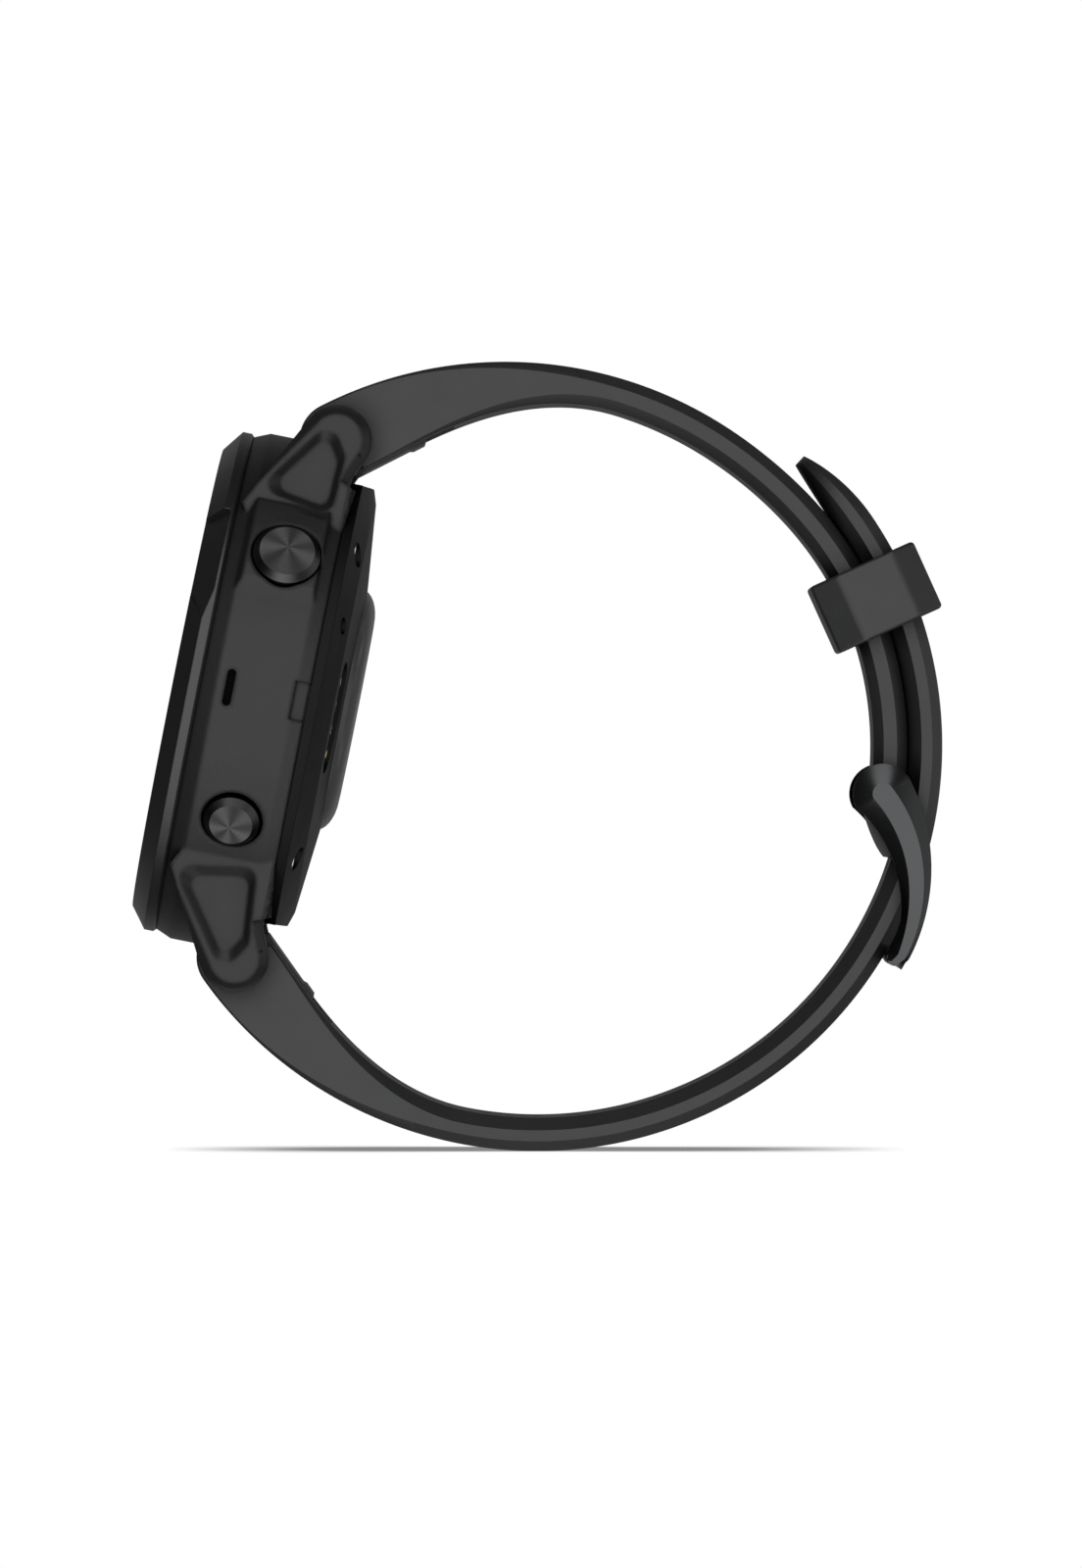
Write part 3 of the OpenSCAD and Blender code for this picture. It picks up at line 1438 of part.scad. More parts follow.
module buckle_frame() {
    color([0.12, 0.12, 0.13]) {
        buckle_arm();
        mirror([0, 1, 0])
            buckle_arm();
        bar_y_axis(end_bar_at, saddle_r, -arm_y0 - arm_bevel, arm_y0 + arm_bevel, 0);
        for (s = [0, 1])
            mirror([0, s, 0])
                bar_y_axis(end_bar_at, end_bar_r, tongue_w / 2 + tongue_gap, arm_y0 + arm_bevel, 0);
    }
}

module buckle_pin() {
    y = arm_y1 - pin_cover - bar_slack;
    color(steel)
        bar_y_axis(pin_at, pin_r, -y, y, pin_bevel);
}

// Middle line of the tongue: along the outer curve, then down through the strap to its eye
function tongue_r(a) = tongue_path_r
    - (tongue_path_r - norm(pin_at - bow_c)) * smooth(-tongue_dip, bow_a0 - tongue_short, a);
function tongue_at(a) = bow_c + tongue_r(a) * dir(a);
function tongue_ring(a) = let (c = tongue_at(a), n = dir(polar(tongue_at(a + 1) - tongue_at(a - 1)) - 90))
    section(c - tongue_t / 2 * n, c + tongue_t / 2 * n, -tongue_w / 2, tongue_w / 2, tongue_bevel);

module buckle_tongue() {
    n = tongue_rings;
    run = bow_a0 - tongue_stop - bow_a1 + tongue_over;
    color([0.12, 0.12, 0.13])
        difference() {
            union() {
                bar_y_axis(pin_at, eye_r, -tongue_w / 2, tongue_w / 2, tongue_bevel);
                loft([for (k = [0 : n]) tongue_ring(bow_a1 - tongue_over + run * k / n)]);
            }
            bar_y_axis(pin_at, pin_r + run_gap, -tongue_w, tongue_w, 0);
        }
}

mid_case();
bezel();
lens();
lens_gasket();
display();
display_carrier();
main_board();
board_chips();
battery();
motor_can();
motor_rotor();
side_switches();
rear_cover();
rear_gasket();
rear_screws();
sensor_lens();
sensor_board();
sensor_lights();
charge_contacts();
vent_membrane();
button(start_key);  // start_button
button(back_key);  // back_button
button(light_key);  // light_button
button(up_key);  // up_button
button(down_key);  // down_button
stem_clip(start_key);  // start_clip
stem_clip(back_key);  // back_clip
stem_clip(light_key);  // light_clip
stem_clip(up_key);  // up_clip
stem_clip(down_key);  // down_clip
key_spring(start_key);  // start_spring
key_spring(back_key);  // back_spring
key_spring(light_key);  // light_spring
key_spring(up_key);  // up_spring
key_spring(down_key);  // down_spring
stem_seals();
strap_bar(1);  // upper_bar
strap_bar(-1);  // lower_bar
upper_strap();
lower_strap();
upper_latch();
lower_latch();
upper_latch_spring();
lower_latch_spring();
keeper();
buckle_frame();
buckle_pin();
buckle_tongue();
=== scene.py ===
import json
import math

import bmesh
import bpy
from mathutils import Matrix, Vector

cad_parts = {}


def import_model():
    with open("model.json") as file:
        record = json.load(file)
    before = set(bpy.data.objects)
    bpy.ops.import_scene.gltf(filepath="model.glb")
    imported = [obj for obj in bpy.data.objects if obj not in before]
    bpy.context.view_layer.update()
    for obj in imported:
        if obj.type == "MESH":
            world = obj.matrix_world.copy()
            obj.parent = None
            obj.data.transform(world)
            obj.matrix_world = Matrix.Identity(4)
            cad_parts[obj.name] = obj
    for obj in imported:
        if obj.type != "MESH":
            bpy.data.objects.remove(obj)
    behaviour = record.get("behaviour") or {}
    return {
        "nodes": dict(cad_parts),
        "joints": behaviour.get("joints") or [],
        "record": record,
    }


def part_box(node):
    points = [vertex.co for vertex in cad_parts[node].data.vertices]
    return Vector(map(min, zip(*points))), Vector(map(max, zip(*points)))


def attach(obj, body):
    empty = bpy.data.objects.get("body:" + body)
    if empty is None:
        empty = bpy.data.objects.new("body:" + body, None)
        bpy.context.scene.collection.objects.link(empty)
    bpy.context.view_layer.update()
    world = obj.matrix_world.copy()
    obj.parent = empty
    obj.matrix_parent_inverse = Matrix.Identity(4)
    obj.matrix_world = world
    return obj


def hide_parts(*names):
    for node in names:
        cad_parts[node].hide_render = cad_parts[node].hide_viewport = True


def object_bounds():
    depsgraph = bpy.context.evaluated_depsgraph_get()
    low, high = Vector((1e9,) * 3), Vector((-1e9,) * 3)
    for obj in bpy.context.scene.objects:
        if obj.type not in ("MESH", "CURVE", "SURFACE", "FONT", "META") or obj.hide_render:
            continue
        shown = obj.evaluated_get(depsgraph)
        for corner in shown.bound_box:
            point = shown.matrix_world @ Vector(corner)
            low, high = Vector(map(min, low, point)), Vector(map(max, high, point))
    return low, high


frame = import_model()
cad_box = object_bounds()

# Units: lengths are in millimetres and angles in degrees, and MM turns lengths into metres
MM = 0.001
WHITE = (1.0, 1.0, 1.0, 1.0)
scene = bpy.context.scene
nodes = frame["nodes"]
joints = {j["name"]: j for j in frame["joints"]}

# Camera: level and straight at the watch's side, from far off, as the photograph's weak perspective tells
IMAGE_H = 1600
MM_PER_PIXEL = 0.08
CAMERA_AT = (-5.44, -1600.0, -2.0)
SENSOR_H = 24.0
CLIP_START = 10.0
CLIP_END = 20000.0

# Lights: place, point aimed at, width and height, and power in watts
LIGHTS = {
    "front_light": dict(at=(-5, -800, 80), aim=(-5, 0, 80), width=900, height=3600, power=12.9),
    "low_light": dict(at=(-5, -200, -700), aim=(-30, -20, 0), width=800, height=400, power=0.5),
    "right_light": dict(at=(800, -100, 0), aim=(0, -100, 0), width=1400, height=900, power=1.6),
}
ROOM_LIGHT = 0.05
BACKDROP_GLOSS = 0.2
BACKDROP_FROM = 0.5
BACKDROP_FULL = 1.0
FLOOR_HALF = 1500.0
FLOOR_SHADE_REACH = 12.0

# Strap sizes, as in the part's source
STRAP_W = 20.0
TAIL_W = 18.0
STRAP_T = 2.72
ROOT_T = 6.2
TAPER_DEG = 44.0
STRAP_BEVEL = 0.82
BEVEL_SHARE = 0.3
BEVEL_START = 0.1
NARROW_RUN = 2.0
ROOT_BEVEL = 0.15
ROOT_INSET = 0.1
LOWER_C = Vector((-6.0, 1.15))
UPPER_C = Vector((-8.0, -0.8))
LOWER_R = 32.85
TAIL_RISE = 0.3
RISE_A0 = 230.0
RISE_A1 = 325.0
TAIL_DEG = 47.0
TIP_DEG = 13.0
TIP_FALL = 0.95
TIP_THIN = 1.85
TIP_ROUND = 7.5
TIP_WIDTH = 0.45
UPPER_R1 = 32.6
LAY_A0 = 25.0
LAY_A1 = 60.0
LAY_GAP = 0.15
HOLE_L = 5.3
HOLE_W = 2.6
HOLE_PITCH = 7.2
HOLE_DEG = -14.9
HOLES = range(-6, 4)
BARREL_R = 1.7
BARREL_GAP = 0.15
PIN_R = 0.8
RUN_GAP = 0.05
LIP_L = 5.16
LIP_T = 0.25
LIP_A0 = -165.0
LIP_A1 = -40.0
LIP_RUN = 3.7
TONGUE_W = 2.0
TONGUE_GAP = 0.25
BAR_R = 0.8
HOOK_GAP = 0.1

# Strap shape of the scene alone: a wider inner bevel on the long half, and a crown on the short half
INNER_BEVEL = 1.25
CROWN = 0.13
CROWN_INSET = 1.2

# Latch sizes, for the pockets in the strap roots, as in the part's source
LATCH_L = 6.4
LATCH_NOSE = 1.4
LATCH_TRAVEL = 2.4
LATCH_W = 12.0
RAIL_W = 1.0
RAIL_Z = 1.5
RAIL_T = 0.7
LATCH_GAP = 0.12
LATCH_SPRING_L = 4.8
LATCH_SPRING_R = 0.45
LATCH_WIRE = 0.1

# Keeper sizes, as in the part's source
KEEPER_DEG = 24.3
KEEPER_L = 5.9
KEEPER_IN = 1.5
KEEPER_OUT = 1.4
KEEPER_SIDE = 1.6
KEEPER_GAP = 0.28
KEEPER_BEVEL_IN = 2.4
KEEPER_BEVEL_OUT = 2.0
KEEPER_BEVEL_Y = 1.1

# Buckle sizes, as in the part's source
HEAD_R = 2.45
BOW_R = 15.8
BOW_A0 = 27.0
BOW_A1 = -31.5
BOW_BLEND = 45.0
ARM_TIP = 1.85
ARM_T = 1.75
ARM_POWER = 1.15
ARM_ROUND = 0.35
ARM_ROUND_DEG = 4.0
ARM_BEVEL = 0.42
ARM_SLOPE = 0.7
ARM_GAP = 0.35
STRIP_HEAD = 1.75
STRIP_TIP = 0.5
STRIP_POWER = 0.7
BAND_TIP = 0.3
PIN_COVER = 0.9
END_BAR_R = 0.65
END_BAR_IN = 1.05
END_BAR_DEG = 2.0
SADDLE_R = 0.35

# Buckle shape of the scene alone: the flat strip falls more steeply at the tip
STRIP_FALL = 0.62
STRIP_FALL_DEG = 4.0

# Edges of the scene's own pieces: points closer than WELD are joined, and flats are cleaned before rounding
WELD = 0.02
FLAT_DEG = 0.3
EDGE_DEG = 20.0
EDGE_SEGMENTS = 3
STRAP_EDGE = 0.12
KEEPER_EDGE = 0.3
BUCKLE_EDGE = 0.06

# Cutters: how far they reach, for the holes in strap thicknesses, and the bevel of a bar with sharp ends
HOOK_REACH = 8.0
HOLE_REACH = 2.5
SHARP = 0.01


def flat_dir(deg):
    """Unit vector in the X-Z plane."""
    a = math.radians(deg)
    return Vector((math.cos(a), math.sin(a)))


def polar(p):
    """Angle of a point in the X-Z plane."""
    return math.degrees(math.atan2(p[1], p[0]))


def smooth(a, b, x):
    """Smooth step from 0 at a to 1 at b."""
    t = min(1.0, max(0.0, (x - a) / (b - a)))
    return t * t * (3 - 2 * t)


def middle(node):
    """Centre of a CAD node in the X-Z plane, in millimetres."""
    low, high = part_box(node)
    c = (low + high) / 2 / MM
    return Vector((c.x, c.z))


BARS = {"upper": middle("upper_bar"), "lower": middle("lower_bar")}
UPPER_BAR, LOWER_BAR = BARS.values()
PIN = Vector((joints["buckle_swing"]["pos_m"][0], joints["buckle_swing"]["pos_m"][2])) / MM
ROOT_R = ROOT_T / 2
TAIL_R = LOWER_R + TAIL_RISE
UPPER_A0 = polar(UPPER_BAR - UPPER_C)
UPPER_A1 = polar(PIN - UPPER_C)
LOWER_A0 = polar(LOWER_BAR - LOWER_C) + 360
LOWER_A1 = TAIL_DEG + 360
UPPER_R0 = (UPPER_BAR - UPPER_C).length + ROOT_R
LOWER_R0 = (LOWER_BAR - LOWER_C).length + ROOT_R
LAY_R = TAIL_R - STRAP_T - LAY_GAP
LAY_D = LOWER_C - UPPER_C
LIP_Z = PIN[1] - LIP_L
LIP_AT = Vector((LOWER_C[0] + math.sqrt(LAY_R ** 2 - (LIP_Z - LOWER_C[1]) ** 2), LIP_Z))
SLOT_Y = TONGUE_W / 2 + TONGUE_GAP
SPRING_BORE = LATCH_SPRING_R + LATCH_WIRE + LATCH_GAP


# Strap curves, against the angle a or the share s of the taper from the root
def strap_th(s):
    return STRAP_T + (ROOT_T - STRAP_T) * (1 - smooth(0, 1, s))


def half_w(s):
    return TAIL_W / 2 + (STRAP_W - TAIL_W) / 2 * (1 - smooth(0, NARROW_RUN, s))


def edge(s):
    return ROOT_BEVEL + (STRAP_BEVEL - ROOT_BEVEL) * smooth(BEVEL_START, 1, s)


def lower_s(a):
    return (a - LOWER_A0) / TAPER_DEG


def upper_s(a):
    return (UPPER_A0 - a) / TAPER_DEG


def tip_q(a):
    """Share of the tip's fall and thinning, from its start to its end."""
    return max(0.0, (a - LOWER_A1 + TIP_DEG) / TIP_DEG) ** 2


def lower_ro(a):
    """Outer radius of the long half."""
    taper = (LOWER_R0 - LOWER_R) * (1 - smooth(0, 1, lower_s(a)))
    return LOWER_R + taper + TAIL_RISE * smooth(RISE_A0, RISE_A1, a) - TIP_FALL * tip_q(a)


def lay_ro(a):
    """Outer radius of the short half where the tail lies on it."""
    d = flat_dir(a)
    across = LAY_D[0] * d[1] - LAY_D[1] * d[0]
    return LAY_D.dot(d) + math.sqrt(LAY_R ** 2 - across ** 2)


def upper_ro(a):
    """Outer radius of the short half."""
    free = UPPER_R1 + (UPPER_R0 - UPPER_R1) * max(0.0, a) / UPPER_A0
    return lay_ro(a) + (free - lay_ro(a)) * smooth(LAY_A0, LAY_A1, a)


def lower_th(a):
    return strap_th(lower_s(a)) - TIP_THIN * tip_q(a)


def upper_th(a):
    return strap_th(upper_s(a))


def section(p, q, h, b, i, crown):
    """Strap section between an inner and an outer point: half width h, outer bevel b, inner bevel i."""
    t = (q - p).length
    e = (q - p) / t
    c = h - b - min(CROWN_INSET, (h - b) / 2)
    pairs = [(0, i - h), (i, -h), (t - b, -h), (t, b - h), (t + crown, -c),
             (t + crown, c), (t, h - b), (t - b, h), (i, h), (0, h - i)]
    return [Vector((p[0] + e[0] * u, y, p[1] + e[1] * u)) for u, y in pairs]


def tip_share(a):
    """Share of the width that the rounded tip leaves."""
    u = min(1.0, math.radians(LOWER_A1 - a) * TAIL_R / TIP_ROUND)
    return TIP_WIDTH + (1 - TIP_WIDTH) * math.sqrt(1 - (1 - u) ** 2)


def lower_ring(a):
    s = lower_s(a)
    outer = LOWER_C + lower_ro(a) * flat_dir(a)
    inner = LOWER_C + (lower_ro(a) - lower_th(a)) * flat_dir(a)
    b = min(edge(s), BEVEL_SHARE * lower_th(a))
    return section(inner, outer, half_w(s) * tip_share(a), b, b * INNER_BEVEL, 0.0)


def upper_ring(a):
    """The crown closes the view through the gap between the two layers."""
    s = upper_s(a)
    outer = UPPER_C + upper_ro(a) * flat_dir(a)
    inner = UPPER_C + (upper_ro(a) - upper_th(a)) * flat_dir(a)
    return section(inner, outer, half_w(s), edge(s), edge(s), CROWN * (1 - smooth(LAY_A0, LAY_A1, a)))


# Mesh helpers
def mesh_object(name, points, faces):
    """Object from points in millimetres."""
    mesh = bpy.data.meshes.new(name)
    mesh.from_pydata([tuple(Vector(p) * MM) for p in points], [], faces)
    mesh.validate()
    obj = bpy.data.objects.new(name, mesh)
    scene.collection.objects.link(obj)
    bm = bmesh.new()
    bm.from_mesh(mesh)
    bmesh.ops.recalc_face_normals(bm, faces=bm.faces)
    bm.to_mesh(mesh)
    bm.free()
    return obj


def loft(name, rings):
    """Closed solid through rings of equally many points."""
    m = len(rings[0])
    faces = []
    for k in range(len(rings) - 1):
        for i in range(m):
            j = (i + 1) % m
            faces.append((k * m + i, k * m + j, (k + 1) * m + j, (k + 1) * m + i))
    faces.append(tuple(range(m)))
    faces.append(tuple((len(rings) - 1) * m + i for i in range(m)))
    return mesh_object(name, [p for r in rings for p in r], faces)


def bar_along_y(name, c, r, y0, y1, bevel=SHARP, steps=64):
    """Round bar along Y with bevelled ends."""
    rings = []
    for y, q in ((y0, r - bevel), (y0 + bevel, r), (y1 - bevel, r), (y1, r - bevel)):
        ring = [c + q * flat_dir(360 * k / steps) for k in range(steps)]
        rings.append([(p[0], y, p[1]) for p in ring])
    return loft(name, rings)


def prism_along_y(name, outline, y0, y1):
    return loft(name, [[(p[0], y, p[1]) for p in outline] for y in (y0, y1)])


def evaluate(obj):
    """Bakes the modifiers of an own piece into its mesh."""
    bpy.context.view_layer.update()
    deps = bpy.context.evaluated_depsgraph_get()
    mesh = bpy.data.meshes.new_from_object(obj.evaluated_get(deps))
    obj.modifiers.clear()
    obj.data = mesh


def combine(obj, tools, operation):
    """Joins the tools to an own piece, or cuts them from it, and removes them."""
    for tool in tools:
        m = obj.modifiers.new(operation.lower(), "BOOLEAN")
        m.operation = operation
        m.solver = "EXACT"
        m.object = tool
    evaluate(obj)
    for tool in tools:
        bpy.data.objects.remove(tool)


def soften(obj, width):
    """Rounds the edges, as a mould or a tumbled finish leaves them."""
    w = obj.modifiers.new("weld", "WELD")
    w.merge_threshold = WELD * MM
    d = obj.modifiers.new("flats", "DECIMATE")
    d.decimate_type = "DISSOLVE"
    d.angle_limit = math.radians(FLAT_DEG)
    b = obj.modifiers.new("edges", "BEVEL")
    b.width = width * MM
    b.segments = EDGE_SEGMENTS
    b.limit_method = "ANGLE"
    b.angle_limit = math.radians(EDGE_DEG)
    b.use_clamp_overlap = True
    b.face_strength_mode = "FSTR_ALL"
    n = obj.modifiers.new("normals", "WEIGHTED_NORMAL")
    n.use_face_influence = True
    obj.data.polygons.foreach_set("use_smooth", [True] * len(obj.data.polygons))
    obj.data.update()


# Shader helpers
class Finish:
    """A procedural material: constants go straight on the shader, textures are added by name."""

    def __init__(self, name, **constants):
        self.material = bpy.data.materials.new(name)
        self.material.use_nodes = True
        self.tree = self.material.node_tree
        self.bsdf = self.tree.nodes["Principled BSDF"]
        for socket, value in constants.items():
            self.bsdf.inputs[socket.replace("_", " ")].default_value = value
        self.place = self.tree.nodes.new("ShaderNodeTexCoord").outputs["Object"]

    def add(self, kind, links=(), **values):
        node = self.tree.nodes.new(kind)
        for name, value in values.items():
            setattr(node, name, value)
        for socket, source in dict(links).items():
            if hasattr(source, "is_output"):
                self.tree.links.new(source, node.inputs[socket])
            else:
                node.inputs[socket].default_value = source
        return node

    def noise(self, size, detail=3.0, roughness=0.55, stretch=None, place=None):
        """Noise with features of about size millimetres."""
        place = place or self.place
        if stretch:
            place = self.add("ShaderNodeMapping", {"Vector": place, "Scale": stretch}).outputs["Vector"]
        links = {"Vector": place, "Scale": 1 / (size * MM), "Detail": detail, "Roughness": roughness}
        return self.add("ShaderNodeTexNoise", links).outputs["Fac"]

    def span(self, value, low=0.0, high=1.0, start=0.3, end=0.7):
        """Maps a value from start to end onto low to high; noise mostly lies from 0.3 to 0.7."""
        links = {"Value": value, "From Min": start, "From Max": end, "To Min": low, "To Max": high}
        return self.add("ShaderNodeMapRange", links).outputs["Result"]

    def around(self, value, centre, spread):
        """Maps noise onto a spread each side of a centre."""
        return self.span(value, centre - spread, centre + spread)

    def math(self, operation, *values):
        return self.add("ShaderNodeMath", dict(enumerate(values)), operation=operation).outputs[0]

    def vector(self, operation, *values):
        node = self.add("ShaderNodeVectorMath", dict(enumerate(values)), operation=operation)
        return node.outputs["Vector"]

    def dot(self, a, b):
        node = self.add("ShaderNodeVectorMath", {0: a, 1: b}, operation="DOT_PRODUCT")
        return node.outputs["Value"]

    def mingle(self, a, b, share):
        """Sum of two textures, with the given share of the first."""
        return self.math("ADD", self.math("MULTIPLY", a, share), self.math("MULTIPLY", b, 1 - share))

    def blend(self, factor, a, b):
        """Mix of two colours, whose sockets come after those for numbers and vectors."""
        node = self.add("ShaderNodeMix", data_type="RGBA")
        self.tree.links.new(factor, node.inputs["Factor"])
        for socket, value in ((node.inputs[6], a), (node.inputs[7], b)):
            if hasattr(value, "is_output"):
                self.tree.links.new(value, socket)
            else:
                socket.default_value = value
        return node.outputs[2]

    def feed(self, socket, source):
        self.tree.links.new(source, self.bsdf.inputs[socket])

    def openness(self, reach, samples):
        """How much of the sky is free within reach."""
        links = {"Distance": reach * MM}
        return self.add("ShaderNodeAmbientOcclusion", links, samples=samples).outputs["AO"]

    def round_edges(self, radius, samples=4):
        return self.add("ShaderNodeBevel", {"Radius": radius * MM}, samples=samples).outputs["Normal"]

    def bump(self, height, depth, below=None):
        links = {"Height": height, "Strength": 1.0, "Distance": depth * MM}
        if below:
            links["Normal"] = below
        return self.add("ShaderNodeBump", links).outputs["Normal"]


def grey(v, warm=0.0):
    return (v * (1 + warm), v, v * (1 - warm), 1.0)


def moulded(name, tone, rough, grain, depth, mottle=0.14, specular=0.5, warm=-0.02,
            edge=0.0, reach=0.0, **extra):
    """Moulded polymer, rubber or coated metal: fine grain, slow mottling, and painted shade that darkens the
    colour in crevices within reach.
    """
    f = Finish(name, Specular_IOR_Level=specular, **extra)
    slow = f.noise(size=6.0, detail=4.0)
    fine = f.noise(grain, detail=2.0, roughness=0.6)
    tint = f.span(f.mingle(slow, fine, share=0.6))
    shade = f.blend(tint, grey(tone * (1 - mottle), warm), grey(tone * (1 + mottle), warm))
    # Painted shade: where little of the sky is free within reach, the colour falls towards a twentieth of
    # its tone.
    if reach:
        free = f.span(f.openness(reach, samples=8), start=0.58, end=0.95)
        shade = f.blend(free, grey(tone * 0.05), shade)
    f.feed("Base Color", shade)
    f.feed("Roughness", f.around(f.noise(size=2.5), rough, spread=0.02))
    below = f.round_edges(edge) if edge else None
    coarse = f.noise(grain * 4, detail=2.0)
    f.feed("Normal", f.bump(fine, depth, f.bump(coarse, depth, below)))
    return f.material


def spun_with_painted_sheen(name, axis_of, out, tone=0.072, rough=0.3, painted_sheen_lobes=5.0):
    """Metal with a spun face: rings round the key's axis, and a painted sheen, lobes of lighter and darker
    colour that turn round the axis with the rings.
    """
    f = Finish(name, Metallic=1.0, Anisotropic=0.75)
    low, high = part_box(axis_of)
    axis = tuple(out)
    place = f.vector("SUBTRACT", f.place, tuple((low + high) / 2))
    links = {0: axis, "Scale": f.dot(place, axis)}
    lift = f.add("ShaderNodeVectorMath", links, operation="SCALE").outputs["Vector"]
    radial = f.vector("SUBTRACT", place, lift)
    radius = f.add("ShaderNodeVectorMath", {0: radial}, operation="LENGTH").outputs["Value"]
    ring = f.add("ShaderNodeCombineXYZ", {"X": radius}).outputs[0]
    grooves = f.noise(size=0.035, detail=2.0, roughness=0.6, place=ring)
    side = Vector(out).cross(Vector((0, 0, 1))).normalized()
    up = side.cross(Vector(out))
    # Painted sheen: the colour gets lighter and darker in lobes round the key's axis, mixed with the
    # grooves.
    turn = f.math("ARCTAN2", f.dot(radial, tuple(up)), f.dot(radial, tuple(side)))
    painted_sheen_wave = f.math("COSINE", f.math("MULTIPLY", turn, painted_sheen_lobes))
    painted_sheen = f.math("MULTIPLY_ADD", painted_sheen_wave, 0.3, 0.5)
    grooves_and_painted_sheen = f.span(f.mingle(painted_sheen, grooves, share=0.6))
    f.feed("Tangent", f.vector("NORMALIZE", f.vector("CROSS_PRODUCT", radial, axis)))
    f.feed("Base Color", f.blend(grooves_and_painted_sheen, grey(tone * 0.6), grey(tone * 1.4)))
    f.feed("Roughness", f.around(grooves, rough, spread=0.06))
    f.feed("Normal", f.bump(grooves, depth=0.004))
    return f.material


def brushed(name, tone, rough, warm=0.0):
    """Drawn or brushed metal: long fine lines."""
    f = Finish(name, Metallic=1.0)
    lines = f.noise(size=0.06, detail=2.0, roughness=0.6, stretch=(1, 0.05, 1))
    f.feed("Base Color", f.blend(f.span(lines), grey(tone * 0.82, warm), grey(tone * 1.18, warm)))
    f.feed("Roughness", f.around(f.noise(size=1.2), rough, spread=0.06))
    f.feed("Normal", f.bump(lines, depth=0.003))
    return f.material


def circuit_board(name, cell=1.1):
    """Solder resist over copper tracks, in squares at right angles."""
    f = Finish(name, Roughness=0.35)
    links = {"Vector": f.place, "Scale": 1 / (cell * MM)}
    cells = f.add("ShaderNodeTexVoronoi", links, distance="MANHATTAN").outputs["Distance"]
    track = f.span(cells, start=0.32, end=0.36)
    speck = f.span(f.noise(size=0.3))
    resist = f.blend(speck, (0.008, 0.05, 0.028, 1), (0.012, 0.075, 0.04, 1))
    f.feed("Base Color", f.blend(track, (0.02, 0.12, 0.06, 1), resist))
    f.feed("Normal", f.bump(track, depth=0.02))
    return f.material


def foil(name, tone=0.6):
    """Laminated pouch foil with soft creases."""
    f = Finish(name, Metallic=1.0)
    crease = f.noise(size=2.2, detail=5.0, roughness=0.65)
    f.feed("Base Color", f.blend(f.span(crease), grey(tone * 0.9), grey(tone * 1.05)))
    f.feed("Roughness", f.span(f.noise(size=0.6), low=0.22, high=0.4))
    f.feed("Normal", f.bump(crease, depth=0.05))
    return f.material


def cover_glass(name):
    """Clear lens with a faint, slow haze in its tint and roughness."""
    f = Finish(name, Transmission_Weight=1.0, IOR=1.52)
    haze = f.noise(size=12.0, detail=2.0)
    f.feed("Base Color", f.blend(f.span(haze), grey(0.89), grey(0.91)))
    f.feed("Roughness", f.span(haze, low=0.018, high=0.026))
    return f.material


def panel(name, pixel=0.12):
    """Dark transflective panel, switched off, with its fine pixel grid."""
    f = Finish(name, Specular_IOR_Level=0.5)
    grid = f.add("ShaderNodeTexChecker", {"Vector": f.place, "Scale": 1 / (pixel * MM)}).outputs["Fac"]
    cloud = f.span(f.noise(size=8.0))
    dark = f.blend(cloud, (0.006, 0.007, 0.009, 1), (0.009, 0.010, 0.012, 1))
    f.feed("Base Color", f.blend(grid, dark, (0.012, 0.013, 0.016, 1)))
    f.feed("Roughness", f.span(cloud, low=0.18, high=0.26))
    return f.material


# Materials by record slot: grain, depth, edge and reach are in millimetres; reach is how far the painted
# crevice shade looks out
MOULDED = {
    "case_polymer": dict(tone=0.0188, rough=0.4, grain=0.12, depth=0.012, edge=0.5, reach=2.0),
    "bezel_polymer": dict(tone=0.014, rough=0.32, grain=0.1, depth=0.008, specular=0.85, edge=0.12),
    "rear_polymer": dict(tone=0.005, rough=0.4, grain=0.1, depth=0.008, specular=0.15, edge=0.12, reach=2.0),
    "seal_rubber": dict(tone=0.012, rough=0.6, grain=0.08, depth=0.006),
    "carrier_polymer": dict(tone=0.02, rough=0.5, grain=0.1, depth=0.008),
    "chip_resin": dict(tone=0.015, rough=0.5, grain=0.06, depth=0.005),
    "sensor_polymer": dict(tone=0.09, rough=0.22, grain=0.3, depth=0.002),
    "sensor_diodes": dict(tone=0.5, rough=0.2, grain=0.3, depth=0.002, warm=0.1),
    # The vent fabric is near black, a painted shade of the deep slot it lies in.
    "vent_fabric": dict(tone=0.002, rough=0.8, grain=0.05, depth=0.02, specular=0.1),
    "strap_silicone": dict(tone=0.027, rough=0.42, grain=0.14, depth=0.006, mottle=0.07, specular=0.6,
                           reach=2.5),
    "latch_metal": dict(tone=0.015, rough=0.38, grain=0.08, depth=0.004, edge=0.12),
    "buckle_metal": dict(tone=0.085, rough=0.26, grain=0.07, depth=0.002, mottle=0.06, Metallic=1.0),
}
BRUSHED = {
    "spring_steel": dict(tone=0.5, rough=0.3),
    "switch_metal": dict(tone=0.45, rough=0.35),
    "screw_steel": dict(tone=0.6, rough=0.3),
    "rotor_metal": dict(tone=0.3, rough=0.45, warm=0.08),
    "contact_gold": dict(tone=0.55, rough=0.25, warm=0.35),
}
OTHERS = {
    "battery_foil": foil,
    "circuit_board": circuit_board,
    "lens_glass": cover_glass,
    "display_panel": panel,
}
FINISHES = {name: moulded(name, **look) for name, look in MOULDED.items()}
FINISHES.update({name: brushed(name, **look) for name, look in BRUSHED.items()})
FINISHES.update({name: make(name) for name, make in OTHERS.items()})


